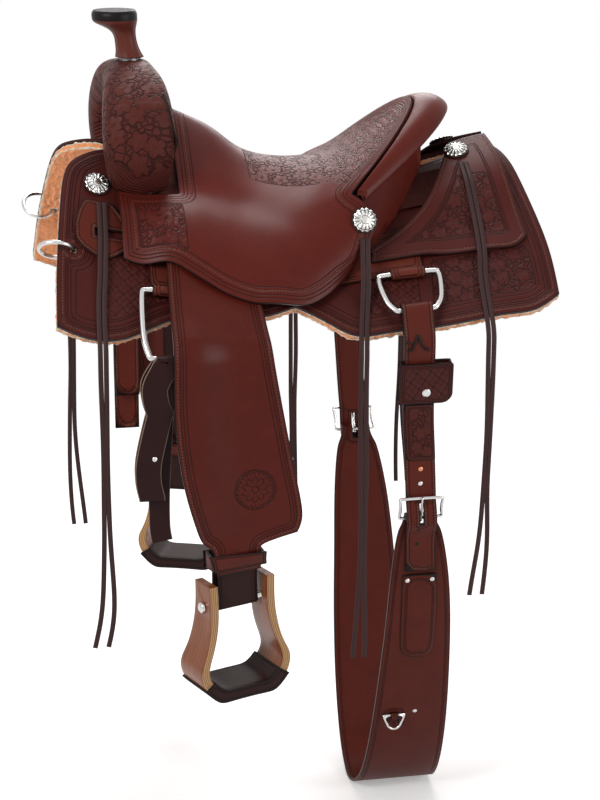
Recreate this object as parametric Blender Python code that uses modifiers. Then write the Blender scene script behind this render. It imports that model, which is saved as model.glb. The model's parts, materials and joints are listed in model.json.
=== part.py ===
"""A western ranch cutting saddle, built up from its tree outwards.

Metres, +Z up, the horse's head towards -X and its near (left) side towards -Y.
The origin is the seat of the rack that carries the saddle, under the tree.

The skirts lie on one curved surface, the drape. Leather that lies on it is cut in
pattern coordinates: x along the horse, q sideways from the ridge (past the skirt's
lower edge, down a vertical hang), and lift above the skirt's face.
"""

import math

import bmesh
import bpy
from mathutils import Matrix, Vector

COLLECTION = "ranch_cutting_saddle"
NEAR, OFF = -1, 1
SIDE_NAMES = {NEAR: "near", OFF: "off"}

# Clearances
TOUCH_GAP = 0.0004
LAYER_GAP = 0.0010
SEAT_GAP = 0.0018

# The drape: height of its ridge along the horse, and how steeply it falls to each side
RIDGE_LINE = (
    (-0.40, 0.168), (-0.25, 0.118), (-0.10, 0.070), (0.0, 0.055), (0.12, 0.066), (0.28, 0.100), (0.36, 0.108),
)
SPREAD_LINE = ((-0.40, 1.50), (-0.25, 1.30), (0.0, 1.0), (0.28, 1.12), (0.36, 1.14))
RIDGE_ROUND = 0.080
SKIRT_REACH = 0.248
SKIRT_EDGE_ROWS = (SKIRT_REACH, SKIRT_REACH + 0.012, SKIRT_REACH + 0.026, SKIRT_REACH + 0.044)
HANG_TURN = 0.040

# Leather and wool
SKIRT_LEATHER = 0.0055
FLEECE = 0.0100
SKIRT_COLUMNS = 17
JOCKEY_LEATHER = 0.0045
SEAT_LEATHER = 0.0050
COVER_LEATHER = 0.0032
STRAP_LEATHER = 0.0036
ROLL_LEATHER = 0.0030
RIGGING_LEATHER = 0.0040

# Skirts, as outlines in (x, q)
SKIRT_TOP = ((-0.292, 0.046), (-0.10, 0.030), (0.10, 0.030), (0.286, 0.010))
SKIRT_FRONT = ((-0.292, 0.046), (-0.329, 0.064), (-0.361, 0.100), (-0.373, 0.163), (-0.384, 0.218), (-0.385, 0.240))
SKIRT_REAR = ((0.286, 0.010), (0.304, 0.054), (0.322, 0.127), (0.333, 0.179), (0.334, 0.232))
SKIRT_BOTTOM = (
    (-0.385, 0.240), (-0.372, 0.249), (-0.336, 0.250), (-0.278, 0.250), (-0.262, 0.240), (-0.240, 0.228),
    (-0.150, 0.224), (-0.084, 0.220), (-0.052, 0.209), (-0.030, 0.214), (0.000, 0.231), (0.032, 0.247),
    (0.144, 0.246), (0.289, 0.246), (0.325, 0.242), (0.334, 0.232),
)

# Back jockeys, as outlines in (x, q)
BACK_JOCKEY_TOP = ((0.074, 0.150), (0.110, 0.134), (0.165, 0.100), (0.203, 0.050), (0.228, 0.010), (0.281, 0.006))
BACK_JOCKEY_REAR = ((0.281, 0.006), (0.288, 0.072), (0.297, 0.123), (0.304, 0.163))
BACK_JOCKEY_BOTTOM = ((0.071, 0.166), (0.139, 0.164), (0.211, 0.170), (0.290, 0.174), (0.304, 0.163))
BACK_JOCKEY_FRONT = ((0.074, 0.150), (0.071, 0.166))

# Tree
FORK_X = -0.252
FORK_SECTIONS = (
    # centre q, centre z, half depth, outward direction q, outward direction z, half length along x
    (0.084, 0.0700, 0.027, 0.72, -0.69, 0.043),
    (0.103, 0.1100, 0.033, 0.93, -0.36, 0.049),
    (0.104, 0.1400, 0.036, 1.00, 0.00, 0.051),
    (0.095, 0.1700, 0.037, 0.90, 0.44, 0.050),
    (0.066, 0.1950, 0.034, 0.50, 0.87, 0.046),
    (0.033, 0.2055, 0.031, 0.17, 0.985, 0.040),
    (0.000, 0.2090, 0.031, 0.00, 1.00, 0.037),
)
BAR_FRONT_X, BAR_REAR_X = -0.286, 0.262
BAR_INNER_Q, BAR_OUTER_Q = 0.036, 0.098
BAR_THICKNESS = 0.0200
BAR_TAIL_THICKNESS = 0.0080
BAR_TAIL_X = 0.150
BAR_EDGE_SHARE = 0.40
STRAINER = 0.0025

# Horn: rings of its leather cover, as (x from the fork, z, radius)
HORN_RINGS = (
    (0.0010, 0.2415, 0.0205), (-0.0010, 0.2500, 0.0175), (-0.0035, 0.2620, 0.0158), (-0.0060, 0.2750, 0.0165),
    (-0.0110, 0.2840, 0.0225), (-0.0170, 0.2905, 0.0300), (-0.0190, 0.2960, 0.0325), (-0.0195, 0.3040, 0.0325),
    (-0.0195, 0.3085, 0.0300),
)
HORN_LEATHER = 0.0030
HORN_FOOT_RADIUS = 0.0165

# Seat: its centreline, and the line where the seat turns down into the side jockeys
SEAT_FRONT_X = -0.197
SEAT_LINE = (
    (-0.20, 0.170), (-0.186, 0.162), (-0.143, 0.143), (-0.09, 0.104), (-0.05, 0.091), (-0.014, 0.087), (0.05, 0.084),
    (0.20, 0.084),
)
SEAT_SIDE_Q = (
    (-0.285, 0.112), (-0.195, 0.112), (-0.12, 0.118), (-0.05, 0.135), (0.0, 0.148), (0.045, 0.155), (0.20, 0.155),
)
SEAT_SIDE_Z = (
    (-0.285, 0.068), (-0.24, 0.060), (-0.195, 0.060), (-0.15, 0.053), (-0.10, 0.040), (-0.05, 0.033), (0.0, 0.043),
    (0.045, 0.060), (0.20, 0.060),
)
SEAT_ROUNDNESS = ((-0.20, 0.18), (-0.10, 0.40), (0.0, 1.0), (0.20, 1.4))
WING_FRONT_X = -0.285
WING_EDGE = ((-0.285, 0.174), (-0.274, 0.180), (-0.224, 0.178), (-0.197, 0.187))
JOCKEY_EDGE = ((-0.197, 0.187), (-0.143, 0.206), (-0.099, 0.216), (-0.044, 0.217), (-0.007, 0.206), (0.047, 0.169))
JOCKEY_LIFT = (
    (-0.285, 0.0020), (-0.260, 0.0070), (-0.235, 0.0238), (-0.195, 0.0250), (-0.170, 0.0232), (-0.145, 0.0170),
    (-0.080, 0.0166), (-0.020, 0.0090), (0.050, 0.0066),
)
JOCKEY_BOW = 0.014
EAR_REACH = 0.030
CANTLE_TIP_X = 0.045
CANTLE_RISE_X = 0.120
CANTLE_HALF_WIDTH = 0.155
CANTLE_TIP_Z = 0.060
CANTLE_HEIGHT = 0.112
DISH_START_X = -0.020
CANTLE_ROLL_WIDTH = 0.052
CANTLE_ROLL_THICKNESS = 0.016
CANTLE_BOARD = 0.013

# Rigging
DEE_WIRE = 0.0042
FRONT_DEE_X, FRONT_DEE_Q = -0.226, SKIRT_REACH - 0.045
FRONT_DEE_WIDTH, FRONT_DEE_DROP = 0.080, 0.104
REAR_DEE_X, REAR_DEE_Q = 0.120, SKIRT_REACH - 0.064
REAR_DEE_WIDTH, REAR_DEE_DROP = 0.090, 0.062
DEE_LIFT = 0.0098
FRONT_DEE_LEAN, REAR_DEE_LEAN = math.radians(2.5), 0.0
DEE_TURNS = (24, 36, 48, 59, 90, 121, 132, 144, 156)
DEE_FLAT = 0.52
ROLL_WIDTH = 0.050
ROLL_START = 0.0035
PLATE_TOP_Q = 0.128
BREAST_DEE_RADIUS = 0.0235
BREAST_DEE_WIRE = 0.0032
BREAST_DEE_Q = 0.170
BREAST_DEE_X = -0.354

# Fenders, stirrup leathers and stirrups
FENDER_LIFT = 0.0108
FENDER_OVER_DEE = 0.0194
FENDER_OVER_STRAP = 0.0258
FENDER_RISE = 0.032
OVER_DEE_X = -0.150
STRAP_START_Q = SKIRT_REACH - 0.023
STRAP_END_Q, STRAP_FADE = SKIRT_REACH + 0.287, 0.045
FENDER_ROWS = (0.150, 0.185, 0.220, *SKIRT_EDGE_ROWS, 0.340, 0.400, 0.460, 0.505, 0.530)
FENDER_LEATHER = 0.0040
FENDER_TOP_Q = 0.150
FENDER_LENGTH = 0.392
FENDER_FRONT = ((0.0, -0.226), (0.25, -0.231), (0.5, -0.232), (0.75, -0.222), (0.93, -0.204), (1.0, -0.194))
FENDER_REAR = (
    (0.0, -0.104), (0.25, -0.094), (0.5, -0.078), (0.75, -0.060), (0.90, -0.050), (0.96, -0.054), (1.0, -0.082),
)
LEATHER_LIFT = 0.0062
LEATHER_WIDTH = 0.060
LEATHER_X = -0.146
NECK_TOP_Z = -0.410
NECK_HEIGHTS = (-0.422, -0.434, -0.446, -0.458)
NECK_HALF_WIDTH = 0.033
STIRRUP_BOLT_Z = -0.505
STIRRUP_TWIST = math.radians(21)
STIRRUP_TOP_WIDTH = 0.082
STIRRUP_BOTTOM_WIDTH = 0.122
STIRRUP_ABOVE_BOLT = 0.036
STIRRUP_BELOW_BOLT = 0.134
STIRRUP_WOOD = 0.0120
STIRRUP_DEPTH_TOP = 0.044
STIRRUP_DEPTH_TREAD = 0.068
TREAD_LEATHER = 0.0025
BOLT_RADIUS = 0.0050
BOLT_HEAD_RADIUS = 0.0085
HOBBLE_Z = -0.440
HOBBLE_HEIGHT = 0.022

# Straps that hang from the dees
LATIGO_TAIL_Z = -0.406
LATIGO_FOLD_Z = -0.345
OFF_BILLET_TAIL_Z = -0.406

# Flank cinch: a catenary between the two rear dees
CINCH_BOTTOM_Z = -0.930
CINCH_SAG = 0.079
CINCH_STATIONS = 12
CINCH_X_TOP, CINCH_X_BOTTOM = 0.121, 0.145
BILLET_GAP = 0.0021
BILLET_LIFT = 0.0095
BILLET_BACK_END = 0.54
BILLET_TOGETHER = STRAP_LEATHER + 2 * TOUCH_GAP
BILLET_FOLD_Z = -0.165
BUCKLE_Z = -0.411
BUCKLE_HEIGHT = 0.035
BUCKLE_WIDTH = 0.062
BUCKLE_WIRE = 0.0026
CINCH_LEATHER = 0.0045
CINCH_HALF_WIDTHS = ((0.0, 0.027), (0.10, 0.034), (0.25, 0.046), (0.60, 0.060), (1.0, 0.066))
BUCKLE_FOOT_LIFT = CINCH_LEATHER + TOUCH_GAP * 2 + BUCKLE_WIRE
BUCKLE_HEAD_LIFT = 0.0175
TONGUE_WIRE = 0.0018
BILLET_RUN = (
    # height, lift of the billet's inner face over the cinch's line
    (-0.376, 0.0105),
    (-0.388, 0.0130),
    (-0.400, 0.0158),
    (-0.411, 0.0172),
    (-0.420, 0.0165),
    (-0.432, 0.0100),
    (-0.445, 0.0054),
    (-0.500, 0.0054),
)
KEEPER_Z = -0.197
KEEPER_FRONT = -0.0250
KEEPER_REAR = 0.0440
RING_X = -0.026
RING_Z = -0.760
RING_WIDTH = 0.026
RING_DROP = 0.022
RING_WIRE = 0.0018
RING_CHAPE = 0.012
KEEPER_HEIGHT, KEEPER_LEATHER = 0.062, 0.0030

# Conchos and strings
CONCHO_RADIUS = 0.0165
ROSETTE_RADIUS = 0.0190
STRING_WIDTH = 0.0150
STRING_THICKNESS = 0.0025


# Curves and the drape


def smooth(t):
    """Eases t from 0 to 1."""
    t = min(1.0, max(0.0, t))
    return t * t * (3 - 2 * t)


def mix(a, b, t):
    return a + (b - a) * t


def along(table, x):
    """Value at x on a smooth curve through a table of (x, value) points."""
    if x <= table[0][0]:
        return table[0][1]
    if x >= table[-1][0]:
        return table[-1][1]
    k = next(i for i in range(1, len(table)) if x <= table[i][0])

    def chord(i):
        return (table[i + 1][1] - table[i][1]) / (table[i + 1][0] - table[i][0])

    def slope(i):
        if i in (0, len(table) - 1):
            return chord(min(i, len(table) - 2))
        before, after = chord(i - 1), chord(i)
        return 0.0 if before * after <= 0 else 2 * before * after / (before + after)

    (x0, v0), (x1, v1) = table[k - 1], table[k]
    width = x1 - x0
    t = (x - x0) / width
    rise = (2 * t**3 - 3 * t**2 + 1) * v0 + (3 * t**2 - 2 * t**3) * v1
    return rise + width * ((t**3 - 2 * t**2 + t) * slope(k - 1) + (t**3 - t**2) * slope(k))


def through(points, t):
    """Point at t (0 to 1, by length) on a smooth curve through points."""
    spans = [math.dist(a, b) for a, b in zip(points, points[1:])]
    marks = [0.0]
    for span in spans:
        marks.append(marks[-1] + span)
    at = t * marks[-1]
    return tuple(along(tuple((m, p[k]) for m, p in zip(marks, points)), at) for k in range(len(points[0])))


def drape_height(x, q):
    return along(RIDGE_LINE, x) - along(SPREAD_LINE, x) * (math.hypot(q, RIDGE_ROUND) - RIDGE_ROUND)


def drape_angle(x, q):
    """How steeply the drape falls sideways at (x, q)."""
    return math.atan(along(SPREAD_LINE, x) * q / math.hypot(q, RIDGE_ROUND))


def drape_normal(x, q):
    """The drape's outward normal on the off side."""
    step = 0.001
    along_x = (drape_height(x + step, q) - drape_height(x - step, q)) / (2 * step)
    along_q = (drape_height(x, q + step) - drape_height(x, q - step)) / (2 * step)
    return Vector((-along_x, -along_q, 1)).normalized()


def side_point(x, q, lift):
    """The pattern point (x, q, lift) on the off side, in space."""
    reach = min(q, SKIRT_REACH)
    y, z = reach, drape_height(x, reach)
    angle = drape_angle(x, reach)
    left = q - reach
    if left > 0:
        start = angle
        step = HANG_TURN / 8
        travelled = 0.0
        while left > 1e-9:
            piece = min(step, left) if travelled < HANG_TURN else left
            angle = mix(start, math.pi / 2, smooth((travelled + piece / 2) / HANG_TURN))
            y += piece * math.cos(angle)
            z -= piece * math.sin(angle)
            travelled += piece
            left -= piece
        angle = mix(start, math.pi / 2, smooth(travelled / HANG_TURN))
    return Vector((x, y + lift * math.sin(angle), z + lift * math.cos(angle)))


def hang_q(x, z):
    """The q at which the hang reaches height z."""
    low, high = 0.0, 1.2
    for _ in range(30):
        middle = (low + high) / 2
        if side_point(x, middle, 0).z > z:
            low = middle
        else:
            high = middle
    return (low + high) / 2


def lay_frame(x, q, lift):
    """Centre, axis along the horse, outward normal and downhill direction of a piece that lies at (x, q)."""
    normal = drape_normal(x, q)
    ahead = side_point(x + 0.01, q, 0) - side_point(x - 0.01, q, 0)
    axis = (ahead - normal * ahead.dot(normal)).normalized()
    return side_point(x, q, 0) + normal * lift, axis, normal, normal.cross(axis)


def coons(top, bottom, front, rear, across, down):
    """Grid of (x, q) points that fills the outline made by four smooth edges.

    across is a count of columns, and down lists the rows as shares of the way down.
    """
    rows = []
    for v in down:
        f, r = through(front, v), through(rear, v)
        row = []
        for i in range(across + 1):
            u = i / across
            t, b = through(top, u), through(bottom, u)
            point = []
            for k in range(2):
                edges = (1 - v) * t[k] + v * b[k] + (1 - u) * f[k] + u * r[k]
                plane = (1 - u) * (1 - v) * top[0][k] + u * (1 - v) * top[-1][k]
                plane += (1 - u) * v * bottom[0][k] + u * v * bottom[-1][k]
                point.append(edges - plane)
            row.append(tuple(point))
        rows.append(row)
    return rows


def bar_lift(x, q):
    """Height of the bar's top over the drape: thick in its middle, thin at its edges, ends and tail."""
    thickness = BAR_THICKNESS
    if x > 0.0:
        thickness = mix(BAR_THICKNESS, BAR_TAIL_THICKNESS, smooth(x / BAR_TAIL_X))
    share = min(1.0, max(0.0, (q - BAR_INNER_Q) / (BAR_OUTER_Q - BAR_INNER_Q)))
    crown = mix(BAR_EDGE_SHARE, 1.0, math.sin(math.pi * share))
    end = min(x - BAR_FRONT_X, BAR_REAR_X - x)
    return LAYER_GAP + thickness * crown * mix(0.35, 1.0, smooth(end / 0.035))


def bar_stations():
    """Places along a bar, closer together near its thin ends."""
    near_ends = (0.0, 0.014, 0.032)
    front = [BAR_FRONT_X + step for step in near_ends]
    rear = [BAR_REAR_X - step for step in near_ends[::-1]]
    return front + [mix(front[-1], rear[0], i / 9) for i in range(1, 9)] + rear


def bar_widths():
    return [mix(BAR_INNER_Q, BAR_OUTER_Q, j / 4) for j in range(5)]


# Blender helpers


def clear_scene():
    for obj in list(bpy.data.objects):
        bpy.data.objects.remove(obj, do_unlink=True)


def collection(name):
    made = bpy.data.collections.new(name)
    bpy.context.scene.collection.children.link(made)
    return made


clear_scene()
PARTS = collection(COLLECTION)
CUTTERS = collection("cutters")

FINISHES = {
    # colour, roughness, metallic
    "leather": ((0.115, 0.026, 0.013), 0.42, 0.0),
    "tooled_leather": ((0.090, 0.020, 0.011), 0.48, 0.0),
    "dark_leather": ((0.030, 0.009, 0.008), 0.45, 0.0),
    "latigo_leather": ((0.055, 0.010, 0.010), 0.38, 0.0),
    "string_leather": ((0.026, 0.008, 0.009), 0.55, 0.0),
    "fleece": ((0.780, 0.260, 0.060), 0.95, 0.0),
    "wood": ((0.330, 0.140, 0.045), 0.40, 0.0),
    "rawhide": ((0.560, 0.440, 0.270), 0.60, 0.0),
    "steel": ((0.620, 0.610, 0.590), 0.24, 1.0),
}


def finish(obj, kind):
    material = bpy.data.materials.new(obj.name)
    material.use_nodes = True
    shader = material.node_tree.nodes["Principled BSDF"]
    colour, roughness, metallic = FINISHES[kind]
    shader.inputs["Base Color"].default_value = (*colour, 1.0)
    shader.inputs["Roughness"].default_value = roughness
    shader.inputs["Metallic"].default_value = metallic
    obj.data.materials.clear()
    obj.data.materials.append(material)


def add_object(name, mesh, kind=None, home=None):
    obj = bpy.data.objects.new(name, mesh)
    (home or PARTS).objects.link(obj)
    if kind:
        finish(obj, kind)
    return obj


def mesh_object(name, bm, kind=None, home=None, outward=True):
    if outward:
        bmesh.ops.recalc_face_normals(bm, faces=bm.faces)
    mesh = bpy.data.meshes.new(name)
    bm.to_mesh(mesh)
    bm.free()
    mesh.shade_smooth()
    return add_object(name, mesh, kind, home)


def mirrored(point, side):
    return Vector((point[0], point[1] * side, point[2]))


def thicken(obj, thickness, grow):
    """Gives an open surface its leather's thickness."""
    shell = obj.modifiers.new("leather", "SOLIDIFY")
    shell.thickness = thickness
    shell.offset = grow
    shell.use_even_offset = True
    shell.use_quality_normals = True


def turn_outward(obj):
    """Turns an open surface so that its highest face looks up."""
    bm = bmesh.new()
    bm.from_mesh(obj.data)
    bmesh.ops.recalc_face_normals(bm, faces=bm.faces)
    top = max(bm.faces, key=lambda f: f.calc_center_median().z)
    if top.normal.z < 0:
        bmesh.ops.reverse_faces(bm, faces=bm.faces)
    bm.to_mesh(obj.data)
    bm.free()


def sheet(name, rows, thickness, kind, side=OFF, skip=None, wrap=False, grow=1.0, up=None):
    """An open grid of points given a leather's thickness by Solidify.

    rows are points on the off side. grow is 1 where the leather thickens away from the
    points along the face normal, and -1 where it thickens the other way. The normals
    turn towards up on the off side, or outward from a grid that wraps round.
    """
    bm = bmesh.new()
    grid = [[bm.verts.new(mirrored(p, side)) for p in row] for row in rows]
    count = len(grid[0])
    for j in range(len(grid) - 1):
        for i in range(count if wrap else count - 1):
            if skip and skip(i, j):
                continue
            k = (i + 1) % count
            bm.faces.new((grid[j][i], grid[j][k], grid[j + 1][k], grid[j + 1][i]))
    loose = [v for v in bm.verts if not v.link_faces]
    bmesh.ops.delete(bm, geom=loose, context="VERTS")
    bm.normal_update()
    if wrap:
        middle = sum((v.co for v in bm.verts), Vector()) / len(bm.verts)
        lean = sum(f.normal.dot(f.calc_center_median() - middle) * f.calc_area() for f in bm.faces)
    else:
        outward = mirrored(up or Vector((0, 0.6, 0.8)), side)
        lean = sum(f.normal.dot(outward) * f.calc_area() for f in bm.faces)
    if lean < 0:
        bmesh.ops.reverse_faces(bm, faces=bm.faces)
    obj = mesh_object(name, bm, kind, outward=False)
    thicken(obj, thickness, grow)
    return obj


def loft(name, rings, kind=None, home=None, closed=False, caps=True):
    """A skin over closed rings of points, capped at both ends unless it closes on itself."""
    bm = bmesh.new()
    loops = [[bm.verts.new(p) for p in ring] for ring in rings]
    count = len(loops[0])
    pairs = list(zip(loops, loops[1:]))
    if closed:
        pairs.append((loops[-1], loops[0]))
    for a, b in pairs:
        for i in range(count):
            k = (i + 1) % count
            bm.faces.new((a[i], a[k], b[k], b[i]))
    if caps and not closed:
        bm.faces.new(loops[0])
        bm.faces.new(loops[-1])
    return mesh_object(name, bm, kind, home)


def combine(target, other, operation):
    """Adds or cuts the other object, which becomes a hidden cutter."""
    if other.users_collection[0] is not CUTTERS:
        other.users_collection[0].objects.unlink(other)
        CUTTERS.objects.link(other)
    other.hide_render = True
    other.display_type = "WIRE"
    step = target.modifiers.new(operation.lower(), "BOOLEAN")
    step.operation = operation
    step.object = other
    step.solver = "EXACT"
    return target


def wire(name, points, radius, kind, cyclic=False, resolution=2):
    """A round bar bent through points."""
    curve = bpy.data.curves.new(name, "CURVE")
    curve.dimensions = "3D"
    curve.bevel_depth = radius
    curve.bevel_resolution = resolution
    curve.use_fill_caps = not cyclic
    spline = curve.splines.new("POLY")
    spline.points.add(len(points) - 1)
    for target, point in zip(spline.points, points):
        target.co = (*point, 1.0)
    spline.use_cyclic_u = cyclic
    return add_object(name, curve, kind)


def set_origin(obj, place):
    """Moves the object's origin onto its joint axis, leaving its shape where it is."""
    place = Vector(place)
    obj.data.transform(Matrix.Translation(-place))
    obj.location = place


# Tree


def tree_bar(side):
    """A bar of the tree: a board that lies along the skirt, thin at its edges and its tail."""
    rings = []
    for x in bar_stations():
        low = [mirrored(side_point(x, q, LAYER_GAP), side) for q in bar_widths()]
        high = [mirrored(side_point(x, q, bar_lift(x, q)), side) for q in bar_widths()]
        rings.append(low + high[::-1])
    return loft(f"tree_bar_{SIDE_NAMES[side]}", rings, "rawhide")


def bars_cutter(name, x_low, x_high, gap, beside):
    """All that lies under the bars' tops, to seat another piece on them. beside is the lift next to the bars."""
    rings = []
    for x in [x_low, *[x for x in bar_stations() if x_low < x < x_high], x_high]:
        half = [side_point(x, 0.0, beside), side_point(x, BAR_INNER_Q - gap, beside)]
        half += [side_point(x, q, bar_lift(x, q) + gap) for q in bar_widths()]
        half += [side_point(x, BAR_OUTER_Q + 0.006, beside), side_point(x, 0.19, beside)]
        ring = [mirrored(p, NEAR) for p in half[::-1]] + half[1:]
        ring += [Vector((x, 0.22, -0.20)), Vector((x, -0.22, -0.20))]
        rings.append(ring)
    return loft(name, rings, home=CUTTERS)


def fork_ring(section, shrink, squareness=2.6, points=12):
    """One section across the fork's arch, an ellipse with full shoulders."""
    q, z, depth, out_q, out_z, length = section
    ring = []
    for k in range(points):
        angle = 2 * math.pi * k / points
        c, s = math.cos(angle), math.sin(angle)
        u = math.copysign(abs(c) ** (2 / squareness), c) * (depth - shrink)
        w = math.copysign(abs(s) ** (2 / squareness), s) * (length - shrink)
        ring.append(Vector((FORK_X + w, q + u * out_q, z + u * out_z)))
    return ring


def fork_rings(shrink):
    """Rings over the whole arch, near side to off side."""
    off = [fork_ring(section, shrink) for section in FORK_SECTIONS]
    near = [[mirrored(p, NEAR) for p in ring] for ring in off[:-1]]
    return near + off[::-1]


def tree_fork():
    """The fork, an arch of wood that stands on the front of both bars."""
    fork = loft("tree_fork", fork_rings(COVER_LEATHER + 2 * TOUCH_GAP), "rawhide")
    return combine(fork, bars_cutter("fork_seat", -0.34, -0.17, SEAT_GAP, LAYER_GAP), "DIFFERENCE")


def fork_cover():
    """The leather over the swells, open at both feet and round the horn's neck."""
    cover = loft("fork_cover", fork_rings(0.0), "tooled_leather", caps=False)
    turn_outward(cover)
    thicken(cover, COVER_LEATHER, -1)
    combine(cover, bars_cutter("fork_cover_seat", -0.34, -0.17, SEAT_GAP, 3 * TOUCH_GAP), "DIFFERENCE")
    bpy.ops.mesh.primitive_cylinder_add(
        vertices=20, radius=HORN_FOOT_RADIUS + TOUCH_GAP, depth=0.05, location=(FORK_X, 0, FORK_SECTIONS[-1][1] + 0.035)
    )
    neck = bpy.context.object
    neck.name = "horn_neck_cutter"
    return combine(cover, neck, "DIFFERENCE")


def horn_ring(x, z, radius, points=14):
    return [
        Vector((FORK_X + x + radius * math.cos(2 * math.pi * k / points), radius * math.sin(2 * math.pi * k / points), z))
        for k in range(points)
    ]


def horn_core():
    """The steel horn, from its foot on the fork to the plate inside the cap."""
    wall = HORN_LEATHER + 3 * TOUCH_GAP
    foot_z = FORK_SECTIONS[-1][1] + FORK_SECTIONS[-1][2] - COVER_LEATHER - TOUCH_GAP
    cap_x, rim_z, rim_radius = HORN_RINGS[-2]
    top = HORN_RINGS[-1][1] - wall
    neck = [(x, z, radius - wall) for x, z, radius in HORN_RINGS[1:4]]
    flare = [(x, z + wall * 0.9, radius - wall) for x, z, radius in HORN_RINGS[4:6]]
    places = [(0, foot_z, HORN_FOOT_RADIUS - 0.002), *neck, *flare, (cap_x, top, rim_radius - wall - 0.001)]
    return loft("horn_core", [horn_ring(*place) for place in places], "steel")


def horn_cover():
    """The horn's leather: the wrap round its neck and the flared cap, open at the foot."""
    bm = bmesh.new()
    loops = [[bm.verts.new(p) for p in horn_ring(*ring)] for ring in HORN_RINGS]
    count = len(loops[0])
    for a, b in zip(loops, loops[1:]):
        for i in range(count):
            bm.faces.new((a[i], a[(i + 1) % count], b[(i + 1) % count], b[i]))
    bm.faces.new(loops[-1])
    cover = mesh_object("horn_cover", bm, "dark_leather")
    turn_outward(cover)
    thicken(cover, HORN_LEATHER, -1)
    return cover


# Seat


def seat_section(x, share):
    """Height of the seat's top at x, at a share of the way from its centre to its side line."""
    x = min(x, CANTLE_TIP_X)
    round_ = along(SEAT_ROUNDNESS, x)
    fall = (math.hypot(share, round_) - round_) / (math.hypot(1, round_) - round_)
    centre = along(SEAT_LINE, x)
    return centre - (centre - along(SEAT_SIDE_Z, x)) * fall


def rim_point(share):
    """The cantle's rim at a share of its half width."""
    rise = 1 - share * share
    return Vector(
        (CANTLE_TIP_X + CANTLE_RISE_X * rise, share * CANTLE_HALF_WIDTH, CANTLE_TIP_Z + CANTLE_HEIGHT * rise)
    )


def seat_point(share, t):
    """A point of the seat's top: t runs back from the fork to the cantle's rim."""
    rim = rim_point(share)
    x = mix(SEAT_FRONT_X, rim.x, t)
    z = seat_section(x, share)
    rise = max(0.0, (x - DISH_START_X) / (rim.x - DISH_START_X))
    z = mix(z, rim.z, rise**2.3)
    return Vector((x, share * along(SEAT_SIDE_Q, x), z))


def seat_side(t):
    """The side line, where the seat turns down: t from -1 at the wings' front, 0 at the fork, 1 at the cantle tip."""
    if t >= 0:
        return seat_point(1.0, t)
    x = mix(SEAT_FRONT_X, WING_FRONT_X, -t)
    return Vector((x, along(SEAT_SIDE_Q, x), along(SEAT_SIDE_Z, x)))


def jockey_edge(t):
    """The side jockey's lower edge, top face, on the same t."""
    x, q = through(JOCKEY_EDGE, t) if t >= 0 else through(WING_EDGE, 1 + t)
    return side_point(x, q, along(JOCKEY_LIFT, x) + SEAT_LEATHER)


def jockey_point(t, down):
    """A point of the side jockey, from the side line (0) to the lower edge (1), with its ear behind the cantle's tip."""
    bow = 4 * down * (1 - down)
    point = seat_side(t).lerp(jockey_edge(t), down) + Vector((0, 0.64, 0.77)) * JOCKEY_BOW * bow
    point.x += EAR_REACH * math.sin(math.pi * down) * smooth((t - 0.8) / 0.2)
    return point


def ear_frame():
    """The middle of the jockey's ear, where its concho sits, and the leather's normal there."""
    place = jockey_point(0.95, 0.42)
    ahead = jockey_point(1.0, 0.42) - jockey_point(0.90, 0.42)
    down = jockey_point(0.95, 0.60) - jockey_point(0.95, 0.25)
    normal = down.cross(ahead).normalized()
    return place, normal if normal.y > 0 else -normal


SEAT_COLUMNS, WING_COLUMNS, SEAT_SHARES, JOCKEY_ROWS = 11, 3, 5, 4
SKIRT_ROWS = (0.0, 0.11, 0.22, 0.34, 0.55, 0.78, 1.0)


def seat_cover():
    """The seat with both side jockeys, cut from one leather, split in front round the fork."""
    shares = [j / SEAT_SHARES for j in range(SEAT_SHARES + 1)]
    columns = [-1 + i / WING_COLUMNS for i in range(WING_COLUMNS)] + [i / SEAT_COLUMNS for i in range(SEAT_COLUMNS + 1)]
    lines = []
    for side in (NEAR, OFF):
        outer = [
            [mirrored(jockey_point(t, j / JOCKEY_ROWS), side) for t in columns] for j in range(JOCKEY_ROWS, 0, -1)
        ]
        inner = [
            [mirrored(seat_point(share, max(t, 0.0)) if t >= 0 or share < 1 else seat_side(t), side) for t in columns]
            for share in shares[::-1]
        ]
        half = outer + inner
        lines += half if side == NEAR else half[::-1][1:]
    first_inner = JOCKEY_ROWS
    last_inner = len(lines) - 1 - JOCKEY_ROWS

    def between_wings(i, j):
        return i < WING_COLUMNS and first_inner <= j < last_inner

    return sheet("seat_cover", lines, SEAT_LEATHER, "leather", skip=between_wings, grow=-1, up=Vector((0, 0, 1)))


def ground_seat():
    """The steel strainer under the seat leather, across both bars."""
    rows = []
    for j in range(-3, 4):
        row = []
        for i in range(7):
            point = seat_point(abs(j) / 3 * 0.5, mix(0.04, 0.60, i / 6))
            row.append(Vector((point.x, math.copysign(point.y, j), point.z - 1.7 * SEAT_LEATHER - LAYER_GAP)))
        rows.append(row)
    return sheet("ground_seat", rows, STRAINER, "steel", grow=-1, up=Vector((0, 0, 1)))


def cantle_stations(count, share_limit):
    return [mix(-share_limit, share_limit, i / count) for i in range(count + 1)]


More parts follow.
